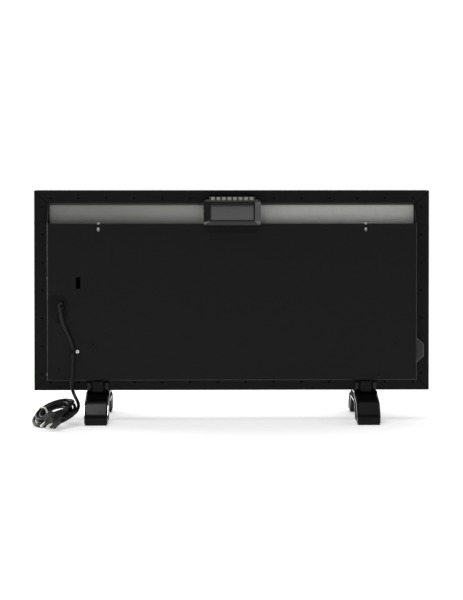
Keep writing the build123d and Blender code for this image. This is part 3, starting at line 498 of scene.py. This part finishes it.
BOOT_RUBBER = Finish("boot rubber", Texture.MOULDED, (0.0045, 0.0045, 0.0045), 0.38, specular=0.15)
FOOT_BLACK = Finish("foot satin black", Texture.MOULDED, (0.003, 0.003, 0.003), 0.37, specular=0.17)
CHROME = Finish(
    "chrome trim",
    Texture.PLATED,
    (0.8, 0.8, 0.82),
    0.12,
    1.0,
    bump=0.000002,
    specular=0.1,
    tones=(Tone(trim_plate, (0.003, 0.003, 0.003), roughness=0.85),),
)
# Nearly black: painted shade in the dimples, and the dark of the mitre seams' joints.
DIMPLE_SHADE = Finish("dimple shade", Texture.POWDER, (0.001, 0.001, 0.001), 0.6, specular=0.05)
# Nearly black: painted shade in the cross recesses of the screw heads.
RECESS_SHADE = Finish("recess shade", Texture.MOULDED, (0.002, 0.002, 0.002), 0.7, specular=0.05)
CLIP_BLACK = Finish(
    "clip gloss black", Texture.POLISHED, (0.003, 0.003, 0.003), 0.25, specular=0.2, coat=0.1
)
PAD_RUBBER = Finish("pad rubber", Texture.MOULDED, (0.01, 0.01, 0.01), 0.7, specular=0.2)
CORD_SHEATH = Finish(
    "cord sheath", Texture.SHEATH, (0.004, 0.004, 0.004), 0.32, specular=0.25, grain=1600.0
)
TIE_WHITE = Finish("white tie", Texture.MOULDED, (0.8, 0.8, 0.76), 0.5)
PLUG_BLACK = Finish(
    "plug black", Texture.MOULDED, (0.006, 0.006, 0.006), 0.4, specular=0.25, grain=1500.0
)
NICKEL = Finish("pin nickel", Texture.BRUSHED, (0.72, 0.7, 0.66), 0.22, 1.0)
FLOOR_WHITE = Finish(
    "floor white", Texture.MOULDED, (0.86, 0.86, 0.86), 0.9, specular=0.0, bump=0.0, mottle=0.0, glow=0.4
)

NODE_FINISHES: dict[str, Finish] = {
    "glass_front": BLACK_GLASS,
    "front_tray": POWDER_TRAY,
    "mounting_frame": POWDER_TRAY,
    "air_deflector": OUTLET_SHEET,
    "rear_cover": POWDER_COVER,
    "hanging_lugs": ZINC,
    "cover_screws": STEEL,
    "intake_grille": POWDER_TRAY,
    "heating_element": ALUMINIUM,
    "element_bushes": CERAMIC,
    "element_brackets": ZINC,
    "bracket_screws": BLACK_SCREW,
    "casing_screws": BLACK_SCREW,
    "terminal_block": PALE_PLASTIC,
    "tip_over_switch": INNER_PLASTIC,
    "temperature_sensor": INNER_PLASTIC,
    "thermal_cutout": CERAMIC,
    "control_base": MATTE_BLACK,
    "control_housing": GLOSS_BLACK,
    "service_cover": SATIN_INSERT,
    "control_bracket": GALVANISED,
    "control_board": BOARD,
    "switch_housing": SWITCH_BLACK,
    "switch_body": SWITCH_BLACK,
    "switch_rocker": ROCKER_BLACK,
    "cord_entry_plate": MATTE_BLACK,
    "cord_gland": BOOT_RUBBER,
    "clip_rail": POWDER_COVER,
    "cord_clip": MATTE_BLACK,
    "clip_screw": ZINC,
    "foot_left": FOOT_BLACK,
    "foot_right": FOOT_BLACK,
    "foot_trims_left": CHROME,
    "foot_trims_right": CHROME,
    "foot_clips": CLIP_BLACK,
    "foot_screws": STEEL,
    "foot_nuts": STEEL,
    "foot_pads": PAD_RUBBER,
    "cord_tie": TIE_WHITE,
    "plug_body": PLUG_BLACK,
    "plug_pins": NICKEL,
    "plug_earth_clips": NICKEL,
}


def dress_nodes() -> None:
    """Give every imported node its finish."""
    for name, finish in NODE_FINISHES.items():
        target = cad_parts[name]
        target.data.materials.clear()
        target.data.materials.append(finish.material())


# Small fixings


@dataclass
class ShellPile:
    """Closed shells gathered into one mesh.

    Attributes:
        points: The corners of each shell, one array for each.
        faces: The faces of all shells, by the numbers of their corners.
    """

    points: list[np.ndarray] = field(default_factory=list)
    faces: list[list[int]] = field(default_factory=list)

    def skin(self, rings: np.ndarray) -> None:
        """Join a run of rings into one closed shell.

        Args:
            rings: Points, of shape (stations, corners, 3). The first and last rings are capped.
        """
        stations, corners, _ = rings.shape
        start = sum(len(part) for part in self.points)
        index = start + np.arange(stations * corners).reshape(stations, corners)
        after = np.roll(index, -1, axis=1)
        walls = np.stack([index[:-1], after[:-1], after[1:], index[1:]], axis=-1).reshape(-1, 4)
        self.points.append(rings.reshape(-1, 3))
        self.faces += walls.tolist() + [index[0][::-1].tolist(), index[-1].tolist()]

    def turned(
        self, centre: Triple, facing: Triple, profile: Sequence[Pair], corners: int = 16
    ) -> None:
        """Add a turned body: its profile swept round the facing direction.

        Args:
            centre: Middle of its foot.
            facing: Unit direction of its axis.
            profile: Radius and height of each ring.
            corners: Points round each ring.
        """
        axis, right, up = frame_of(facing)
        angle = np.linspace(0, 2 * math.pi, corners, endpoint=False)
        circle = np.cos(angle)[:, None] * right + np.sin(angle)[:, None] * up
        radius, height = np.array(profile).T
        self.skin(np.array(centre) + radius[:, None, None] * circle + height[:, None, None] * axis)

    def prism(
        self, centre: Triple, facing: Triple, outline: np.ndarray, low: float, high: float
    ) -> None:
        """Add a flat outline pushed along the facing direction.

        Args:
            centre: Point that the outline is drawn about.
            facing: Unit direction of the push.
            outline: Corners in the plane across that direction.
            low: Start of the push.
            high: End of the push.
        """
        axis, right, up = frame_of(facing)
        flat = outline[:, :1] * right + outline[:, 1:] * up
        self.skin(np.array(centre) + flat + np.array([low, high])[:, None, None] * axis)

    def build(self, name: str, finish: Finish, slot: str) -> bpy.types.Object:
        """Make the shells one object on the heater, with its faces outwards.

        Args:
            name: Name of the piece.
            finish: Its finish.
            slot: Its paint slot; not used.

        Returns:
            The piece.
        """
        mesh = bpy.data.meshes.new(name)
        mesh.from_pydata(np.concatenate(self.points).tolist(), [], self.faces)
        work = bmesh.new()
        work.from_mesh(mesh)
        bmesh.ops.recalc_face_normals(work, faces=work.faces)
        work.to_mesh(mesh)
        work.free()
        made = bpy.data.objects.new(name, mesh)
        bpy.context.scene.collection.objects.link(made)
        mesh.materials.append(finish.material())
        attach(made, "heater")
        return made


def frame_of(facing: Triple) -> tuple[np.ndarray, np.ndarray, np.ndarray]:
    """Work out the two directions across a given one.

    Args:
        facing: A unit direction.

    Returns:
        That direction, the one to its right and the one that is up from both.
    """
    axis = np.array(facing, float)
    up = np.array((0.0, 0.0, 1.0)) if abs(axis[2]) < STEEP else np.array((0.0, 1.0, 0.0))
    right = np.cross(up, axis)
    return axis, right, np.cross(axis, right)


@dataclass(frozen=True)
class NodeBox:
    """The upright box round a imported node.

    Attributes:
        low: Its lowest corner.
        high: Its highest corner.
    """

    low: Vector
    high: Vector

    @classmethod
    def of(cls, name: str) -> "NodeBox":
        """Measure one node of the frame.

        Args:
            name: Name of the node.

        Returns:
            Its box.
        """
        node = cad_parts[name]
        corners = np.array([node.matrix_world @ Vector(corner) for corner in node.bound_box])
        return cls(Vector(corners.min(axis=0)), Vector(corners.max(axis=0)))


@dataclass
class TrayDimples:
    """The clinch dimples along the tray's folded flange, each a dark disc in a low rim whose black is
    painted shade of the hollow, and its mitre seams.

    Attributes:
        tray: Box of the tray, which ends at the flange's rear face.
        control: Box of the control unit, which covers the flange in the middle.
        long_row: Number of dimples in the upper and the lower row.
        short_row: Number of dimples in a row at the side.
        pitch: Distance from one dimple to the next.
        inset: Distance of each row from the tray's edge.
        seam: Reach of each mitre seam along one side.
        seam_width: Width of a seam.
        seam_gap: Distance of a seam's outer end from the tray's edges.
        seam_depth: Depth of a seam's floor under the flange.
        seam_lift: Height of a seam's dark top over the flange.
        profile: Radius and height of a dimple's rings.
    """

    tray: NodeBox = field(default_factory=lambda: NodeBox.of("front_tray"))
    control: NodeBox = field(default_factory=lambda: NodeBox.of("control_housing"))
    long_row: int = 14
    short_row: int = 7
    pitch: float = 0.060
    inset: float = 0.017
    seam: float = 0.029
    seam_width: float = 0.0009
    seam_gap: float = 0.0006
    seam_depth: float = 0.0003
    seam_lift: float = 0.00004
    profile: tuple[Pair, ...] = (
        (0.0001, -0.0004),
        (0.0024, -0.0004),
        (0.0024, 0.00005),
        (0.0021, 0.00024),
        (0.0017, 0.00024),
        (0.0013, 0.00006),
        (0.0001, 0.00004),
    )

    def places(self) -> list[Triple]:
        """Place the dimples at even steps from the middle of each row.

        Returns:
            The middle of each dimple.
        """
        low, high = self.tray.low, self.tray.high
        across = (np.arange(self.long_row) - (self.long_row - 1) / 2) * self.pitch
        steps = (np.arange(self.short_row) - (self.short_row - 1) / 2) * self.pitch
        upwards = (low.z + high.z) / 2 + steps
        bare = across[abs(across) > self.control.high.x]
        rows = [(x, high.y, low.z + self.inset) for x in across]
        rows += [(x, high.y, high.z - self.inset) for x in bare]
        side = high.x - self.inset
        return rows + [(x, high.y, z) for x in (-side, side) for z in upwards]

    def build(self) -> list[bpy.types.Object]:
        """Turn the dimples, and draw each seam as a thin bar on the corner's diagonal.

        Returns:
            All dimples and the four mitre seams as one piece.
        """
        pile = ShellPile()
        for place in self.places():
            pile.turned(place, (0.0, 1.0, 0.0), self.profile)
        low, high = self.tray.low, self.tray.high
        reach, half = self.seam / 2, self.seam_width / 2
        for side in (-1, 1):
            for edge, way in ((low.z, 1), (high.z, -1)):
                x = side * (high.x - reach - self.seam_gap)
                z = edge + way * (reach + self.seam_gap)
                along = np.array((side * reach, way * reach))
                across = np.array((half, -side * way * half))
                seam = np.array([along + across, along - across, -along - across, -along + across])
                middle = (x, high.y, z)
                pile.prism(middle, (0.0, 1.0, 0.0), seam, -self.seam_depth, self.seam_lift)
        return [pile.build("tray_dimples", DIMPLE_SHADE, "black_steel")]


@dataclass
class ScrewRecesses:
    """The cross recesses in the screw heads, each a dark cross whose black is painted shade of the
    recess.

    Attributes:
        arm: Reach of each arm of the cross.
        half: Half of an arm's width.
        sink: Depth of the cross under the head's top.
        lift: Height of its dark top over the head, which hides the head's flat top.
        heads: Middle of each head's top, and the way that it faces.
    """

    arm: float = 0.0021
    half: float = 0.0004
    sink: float = 0.0004
    lift: float = 0.00005
    heads: tuple[tuple[Triple, Triple], ...] = (
        ((-0.350, 0.0612, 0.166), (0, 1, 0)),
        ((0.296, 0.0612, 0.166), (0, 1, 0)),
        ((0.3705, 0.0612, 0.2105), (0, 1, 0)),
        ((0.3705, 0.0612, 0.112), (0, 1, 0)),
        ((-0.314, 0.0612, 0.099), (0, 1, 0)),
        ((0.330, 0.0638, 0.151), (0, 1, 0)),
        ((0.3972, 0.036, 0.0995), (1, 0, 0)),
        ((0.3972, 0.036, 0.306), (1, 0, 0)),
        ((-0.3972, 0.036, 0.0995), (-1, 0, 0)),
        ((-0.3972, 0.036, 0.306), (-1, 0, 0)),
    )

    def build(self) -> list[bpy.types.Object]:
        """Draw a quarter of the cross, turn it three times and push it into each head.

        Returns:
            All recesses as one piece.
        """
        arm, half = self.arm, self.half
        quarter = np.array([(half, half), (half, arm), (-half, arm)])
        right_angle = np.array([(0, 1), (-1, 0)])
        turns = [np.linalg.matrix_power(right_angle, count) for count in range(4)]
        cross = np.concatenate([quarter @ turn for turn in turns])
        pile = ShellPile()
        for place, facing in self.heads:
            pile.prism(place, facing, cross, -self.sink, self.lift)
        return [pile.build("screw_recesses", RECESS_SHADE, "black_screw")]


@dataclass
class LugPair:
    """The bright hanging lugs behind the slots, each a bent strip with a narrow tip.

    Attributes:
        plain: Box of the plain lugs, which this pair fills.
        foot: Length of the strip that lies on the cover.
        bend: Height over which it steps from the cover to the slot's plane.
        shoulder: Height at which it narrows.
        crease: Distance above the shoulder at which it has its narrow width.
        stations: Number of evenly spaced stations along the strip.
        width: Width below the shoulder.
        tip: Width above it.
        sheet: Thickness.
    """

    plain: NodeBox = field(default_factory=lambda: NodeBox.of("hanging_lugs"))
    foot: float = 0.010
    bend: float = 0.008
    shoulder: float = 0.4195
    crease: float = 0.00005
    stations: int = 40
    width: float = 0.014
    tip: float = 0.0052
    sheet: float = 0.0015

    def rings(self, x: float) -> np.ndarray:
        """Work out one strip: its face steps in as three t squared less two t cubed.

        Args:
            x: Middle of the strip.

        Returns:
            Four corners at each station, from its lower end up.
        """
        low, high = self.plain.low, self.plain.high
        even = np.linspace(low.z, high.z, self.stations)
        z = np.sort(np.append(even, self.shoulder + self.crease))
        t = np.clip((z - low.z - self.foot) / self.bend, 0, 1)
        y = high.y + (low.y + self.sheet - high.y) * (3 * t**2 - 2 * t**3)
        slope = np.gradient(y, z)
        length = np.hypot(1, slope)
        inner_y, inner_z = y - self.sheet / length, z + self.sheet * slope / length
        half = np.where(z > self.shoulder, self.tip, self.width) / 2
        left, right = x - half, x + half
        corners = [(left, y, z), (right, y, z), (right, inner_y, inner_z), (left, inner_y, inner_z)]
        return np.stack([np.stack(corner, axis=-1) for corner in corners], axis=1)

    def build(self) -> list[bpy.types.Object]:
        """Make both lugs in place of the plain ones.

        Returns:
            The two lugs as one piece.
        """
        pile = ShellPile()
        middle = self.plain.high.x - self.width / 2
        for x in (-middle, middle):
            pile.skin(self.rings(x))
        made = pile.build("hanging_lug_pair", ZINC, "zinc_lug")
        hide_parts("hanging_lugs")
        return [made]


@dataclass
class OutletPlates:
    """The bare sheet behind the outlet, and the lip of the bracket under the comb.

    Attributes:
        plain: Box of the plain deflector, whose width this one has.
        sheet: Thickness of the deflector.
        bends: Y and Z of its bends, from its top flange down to its foot.
        openings: Number of openings in the comb.
        pitch: Distance from one opening of the comb to the next.
        opening: Width of the lip in one opening.
        slope: Y and Z of the lip's upper and lower edge, just under the comb's slope.
        lip: Thickness of the lip.
    """

    plain: NodeBox = field(default_factory=lambda: NodeBox.of("air_deflector"))
    sheet: float = 0.0008
    bends: tuple[Pair, ...] = (
        (0.006, 0.492),
        (0.022, 0.492),
        (0.022, 0.4136),
        (-0.0178, 0.398),
        (-0.0178, 0.378),
    )
    openings: int = 8
    pitch: float = 0.0118
    opening: float = 0.0078
    slope: tuple[Pair, Pair] = ((0.0586, 0.4803), (0.0654, 0.47455))
    lip: float = 0.0008

    def rings(self) -> np.ndarray:
        """Work out the deflector: each bend is moved along the halved angle of its two walls.

        Returns:
            Four corners at each bend, from the top flange down.
        """
        path = np.array(self.bends)
        way = np.diff(path, axis=0)
        way /= np.linalg.norm(way, axis=1)[:, None]
        out = np.stack([-way[:, 1], way[:, 0]], axis=1)
        before, after = np.vstack([out[:1], out]), np.vstack([out, out[-1:]])
        mitre = (before + after) / (1 + np.sum(before * after, axis=1))[:, None]
        far = path + mitre * self.sheet
        half = self.plain.high.x
        corners = [(-half, path), (half, path), (half, far), (-half, far)]
        return np.stack([np.insert(points, 0, x, axis=1) for x, points in corners], axis=1)

    def build(self) -> list[bpy.types.Object]:
        """Make the deflector in place of the plain one, and a bar of the lip in each opening.

        Returns:
            The deflector and the lip.
        """
        plate = ShellPile()
        plate.skin(self.rings())
        deflector = plate.build("outlet_deflector", OUTLET_SHEET, "galvanised_sheet")
        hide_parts("air_deflector")
        top, foot = np.array(self.slope)
        down = np.array((0.0, self.lip))
        section = np.array([top, foot, foot - down, top - down])
        pile = ShellPile()
        for x in (np.arange(self.openings) - (self.openings - 1) / 2) * self.pitch:
            ends = (x - self.opening / 2, x + self.opening / 2)
            pile.skin(np.array([np.insert(section, 0, end, axis=1) for end in ends]))
        return [deflector, pile.build("bracket_lip", GALVANISED, "galvanised_sheet")]


# Mains cord


@dataclass
class CoilFrame:
    """The leaning plane in which the tied coil lies.

    Attributes:
        centre: Middle of the coil's axis line.
        along: Unit direction of that line.
        across: Unit direction across it, in the plane.
        normal: Unit direction out of the plane.
    """

    centre: Vector
    along: Vector
    across: Vector
    normal: Vector

    def at(self, x: float, y: float, z: float) -> Vector:
        """Return a point given in this plane's own directions."""
        return self.centre + self.along * x + self.across * y + self.normal * z


@dataclass
class MainsCord:
    """The cord from the boot to the plug on one smooth line.

    Attributes:
        radius: Radius of the sheath.
        length: Length of the cord; not used.
        coil_place: X and Y of the coil's middle.
        clearance: Gap between the coil's lowest point and the floor.
        tilt: How far the coil's plane leans, in degrees.
        lean: Heading of its low side, in degrees.
        heading: Heading of its axis line, in degrees.
        size: Radius of the outermost half turn.
        step: How much each turn shrinks.
        layer: Height of the upper layer over the lower one.
        plug_end: Where the cord enters the plug.
        plug_way: The plug's direction from there.
        run_out: Length that runs straight into the plug.
        given_up: Points of the last half turn that the run-out takes the place of.
        drop: Points from the boot past the clip to the coil.
    """

    radius: float = 0.0035
    length: float = 1.457
    coil_place: Pair = (0.372, 0.100)
    clearance: float = 0.0003
    tilt: float = 25.0
    lean: float = 44.0
    heading: float = 171.0
    size: float = 0.050
    step: float = 0.0086
    layer: float = 0.0076
    plug_end: Triple = (0.354, 0.1495, 0.0375)
    plug_way: Triple = (0.61, 0.638, -0.46)
    run_out: float = 0.006
    given_up: int = 3
    drop: tuple[Triple, ...] = (
        (0.3635, 0.0735, 0.2357),
        (0.3635, 0.0735, 0.222),
        (0.3546, 0.069, 0.1995),
        (0.3459, 0.066, 0.1805),
        (0.3393, 0.0654, 0.164),
        (0.3393, 0.0654, 0.137),
        (0.3408, 0.066, 0.111),
        (0.3425, 0.0665, 0.091),
        (0.3415, 0.066, 0.073),
        (0.3354, 0.0719, 0.0583),
        (0.3293, 0.0826, 0.0498),
    )

    def plane(self) -> CoilFrame:
        """Lean the coil's plane about its low side, and lift it clear of the floor.

        Returns:
            The plane.
        """
        tilt, lean, heading = (math.radians(a) for a in (self.tilt, self.lean, self.heading))
        normal = Vector(
            (math.sin(tilt) * math.cos(lean), math.sin(tilt) * math.sin(lean), math.cos(tilt))
        )
        level = Vector((math.cos(heading), math.sin(heading), 0.0))
        along = (level - normal * level.dot(normal)).normalized()
        height = self.radius + self.clearance + self.size * math.sin(tilt)
        centre = Vector((*self.coil_place, height))
        return CoilFrame(centre, along, normal.cross(along), normal)

    @staticmethod
    def half_turn(
        plane: CoilFrame, start: float, end: float, rise: Triple, steps: int = 12
    ) -> list[Vector]:
        """Return points at the middles of the even steps of one half circle.

        Args:
            plane: The coil's plane.
            start: Where it starts on the axis line.
            end: Where it ends on the axis line.
            rise: Heights over the lower layer at its start, middle and end.
            steps: Points in the half turn.

        Returns:
            Points pushed out a little, so that the smooth line has the real radius.
        """
        centre, radius = (start + end) / 2, (start - end) / 2
        swell = 2 / (1 + math.cos(math.pi / steps / 2))
        points = []
        for i in range(steps):
            turn = math.pi * (i + 0.5) / steps
            along = centre + radius * swell * math.cos(turn)
            across = -radius * swell * math.sin(turn)
            height = np.interp(turn / math.pi, (0.0, 0.5, 1.0), rise)
            points.append(plane.at(along, across, height))
        return points

    def route(self) -> list[Vector]:
        """Work out the whole cord.

        A cubic leads from the drop to the outermost half turn. Half turns wind inwards on the
        lower layer, the last of them climbs, and more wind outwards on the upper layer. Another
        cubic leads to the plug.

        Returns:
            Control points of the smooth line, from the boot to the plug.
        """
        plane = self.plane()
        outer, middle = self.size, self.size - self.step
        inner, last = self.size - 2 * self.step, self.size - 3 * self.step
        points = [Vector(point) for point in self.drop]
        way = (points[-1] - points[-2]).normalized()
        points += self.bridge(points[-1], way, plane.at(outer, 0.0, 0.0), -plane.across, count=2)
        inwards = [outer, -outer, middle, -middle, inner, -inner, last]
        for start, end in zip(inwards, inwards[1:]):
            points += self.half_turn(plane, start, end, (0.0, 0.0, 0.0))
        points += self.half_turn(plane, last, -inner, (0.0, self.layer, self.layer))
        outwards = [-inner, inner, -middle, middle]
        for start, end in zip(outwards, outwards[1:]):
            points += self.half_turn(plane, start, end, (self.layer, self.layer, self.layer))
        del points[-self.given_up :]
        way = (points[-1] - points[-2]).normalized()
        plug_end, plug_way = Vector(self.plug_end), Vector(self.plug_way).normalized()
        straight = plug_end - plug_way * self.run_out
        points += self.bridge(points[-1], way, straight, plug_way, count=5)
        return points + [straight, plug_end]

    @staticmethod
    def bridge(start: Vector, way: Vector, end: Vector, onward: Vector, count: int) -> list[Vector]:
        """Return the inner points of a cubic that leaves and meets its ends in given directions.

        Args:
            start: Where it starts.
            way: Unit direction there.
            end: Where it ends.
            onward: Unit direction there.
            count: Number of points.

        Returns:
            Points at even steps, without both ends.
        """
        reach = (end - start).length
        steps = [(i + 1) / (count + 1) for i in range(count)]
        return [
            start * (2 * t**3 - 3 * t**2 + 1)
            + way * (reach * (t**3 - 2 * t**2 + t))
            + end * (3 * t**2 - 2 * t**3)
            + onward * (reach * (t**3 - t**2))
            for t in steps
        ]

    def build(self) -> list[bpy.types.Object]:
        """Make the cord a curve with a round section.

        Returns:
            The cord.
        """
        curve = bpy.data.curves.new("mains_cord", "CURVE")
        curve.dimensions = "3D"
        curve.bevel_depth = self.radius
        curve.bevel_resolution = 5
        curve.resolution_u = 6
        curve.use_fill_caps = True
        points = self.route()
        spline = curve.splines.new("NURBS")
        spline.points.add(len(points) - 1)
        for target, point in zip(spline.points, points):
            target.co = (*point, 1.0)
        spline.order_u = 3
        spline.use_endpoint_u = True
        made = bpy.data.objects.new("mains_cord", curve)
        bpy.context.scene.collection.objects.link(made)
        curve.materials.append(CORD_SHEATH.material())
        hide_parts("cord_drop", "cord_coil")
        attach(made, "heater")
        return [made]


# Stage


@dataclass(frozen=True)
class Stage:
    """Floor, light and the camera of the photograph.

    Attributes:
        eye: Where the camera stands.
        lens: Focal length on the photograph's upright side, in millimetres.
        sensor: Height of the sensor, in millimetres.
        yaw: Turn of the camera towards -X, in degrees.
        dip: Its slope downwards, in degrees.
        shift: Its shift, as shares of the sensor.
        floor_x: Lower and upper end of the floor in X.
        floor_y: Lower and upper end of the floor in Y.
        light: Strength of the room's light.
        slant: How far the room's dim half turns towards the side.
        edge: Where the white half starts to dim and where it is dim.
        dim: Grey of the dim half.
    """

    eye: Triple = (0.0635, 3.624, 0.5596)
    lens: float = 100.28
    sensor: float = 36.0
    yaw: float = 0.843
    dip: float = 0.688
    shift: Pair = (0.0075, -0.2)
    floor_x: Pair = (-17.0, 9.0)
    floor_y: Pair = (-30.0, 16.7)
    light: float = 1.25
    slant: float = 0.25
    edge: Pair = (-0.1, 0.15)
    dim: float = 0.105

    def camera(self) -> None:
        """Place the camera behind the heater and make it the scene's."""
        data = bpy.data.cameras.new("photo_camera")
        data.sensor_fit = "VERTICAL"
        data.sensor_height = self.sensor
        data.lens = self.lens
        data.shift_x, data.shift_y = self.shift
        made = bpy.data.objects.new("photo_camera", data)
        bpy.context.scene.collection.objects.link(made)
        made.location = self.eye
        yaw, dip = math.radians(self.yaw), math.radians(self.dip)
        forward = Vector((-math.sin(yaw), -math.cos(yaw), -math.sin(dip)))
        made.rotation_euler = forward.to_track_quat("-Z", "Y").to_euler()
        bpy.context.scene.camera = made

    def floor(self) -> None:
        """Lay the pale floor."""
        (low_x, high_x), (low_y, high_y) = self.floor_x, self.floor_y
        corners = [(low_x, low_y, 0), (high_x, low_y, 0), (high_x, high_y, 0), (low_x, high_y, 0)]
        mesh = bpy.data.meshes.new("floor")
        mesh.from_pydata(corners, [], [(0, 1, 2, 3)])
        made = bpy.data.objects.new("floor", mesh)
        bpy.context.scene.collection.objects.link(made)
        mesh.materials.append(FLOOR_WHITE.material())

    def world(self) -> None:
        """Light the room: white in front of the heater, dim behind the camera, on a white backdrop."""
        world = bpy.data.worlds.new("room")
        bpy.context.scene.world = world
        world.use_nodes = True
        graph = Graph(world.node_tree)
        way = graph.node("ShaderNodeTexCoord", output="Generated")
        side, back, _ = graph.axes(way)
        white, grey = (1.0, 1.0, 1.0, 1.0), (self.dim, self.dim, self.dim, 1.0)
        tone = graph.blend((back + side * self.slant).span(*self.edge), white, grey)
        seen = graph.node("ShaderNodeLightPath", output="Is Camera Ray")
        shown = graph.blend(seen, tone, white)
        light = graph.node("ShaderNodeBackground", {"Color": shown, "Strength": self.light})
        graph.node("ShaderNodeOutputWorld", {"Surface": light})

    @staticmethod
    def soft_box(name: str, place: Triple, aim: Triple, size: Pair, power: float) -> None:
        """Hang one soft light.

        Args:
            name: Name of the light.
            place: Where it hangs.
            aim: Point that it faces.
            size: Its two sides.
            power: Its power, in watts.
        """
        data = bpy.data.lights.new(name, "AREA")
        data.shape = "RECTANGLE"
        data.size, data.size_y = size
        data.energy = power
        made = bpy.data.objects.new(name, data)
        bpy.context.scene.collection.objects.link(made)
        made.location = place
        made.rotation_euler = (Vector(aim) - Vector(place)).to_track_quat("-Z", "Y").to_euler()

    def lamps(self) -> None:
        """Hang a large light overhead, a small one beside it, and a strip before the panel's left."""
        self.soft_box(
            "overhead", place=(0.3, 0.6, 3.2), aim=(0.3, 0.6, 0.0), size=(5.0, 5.0), power=14.0
        )
        self.soft_box(
            "key", place=(0.55, 1.0, 3.0), aim=(0.3, 0.1, 0.0), size=(1.0, 0.8), power=24.0
        )
        self.soft_box(
            "left_strip", place=(2.6, -1.2, 0.9), aim=(0.4, 0.0, 0.25), size=(0.8, 1.8), power=25.0
        )

    def build(self) -> None:
        """Set everything up."""
        self.camera()
        self.floor()
        self.world()
        self.lamps()
        bpy.context.scene.view_settings.view_transform = "Standard"


def main() -> None:
    """Build the pieces in order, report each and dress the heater."""
    logging.basicConfig(level=logging.INFO)
    Stage().build()
    for assembly in (MainsCord(), TrayDimples(), ScrewRecesses(), LugPair(), OutletPlates()):
        for made in assembly.build():
            log.info("built %s", made.name)
    dress_nodes()


if __name__ == "__main__":
    main()
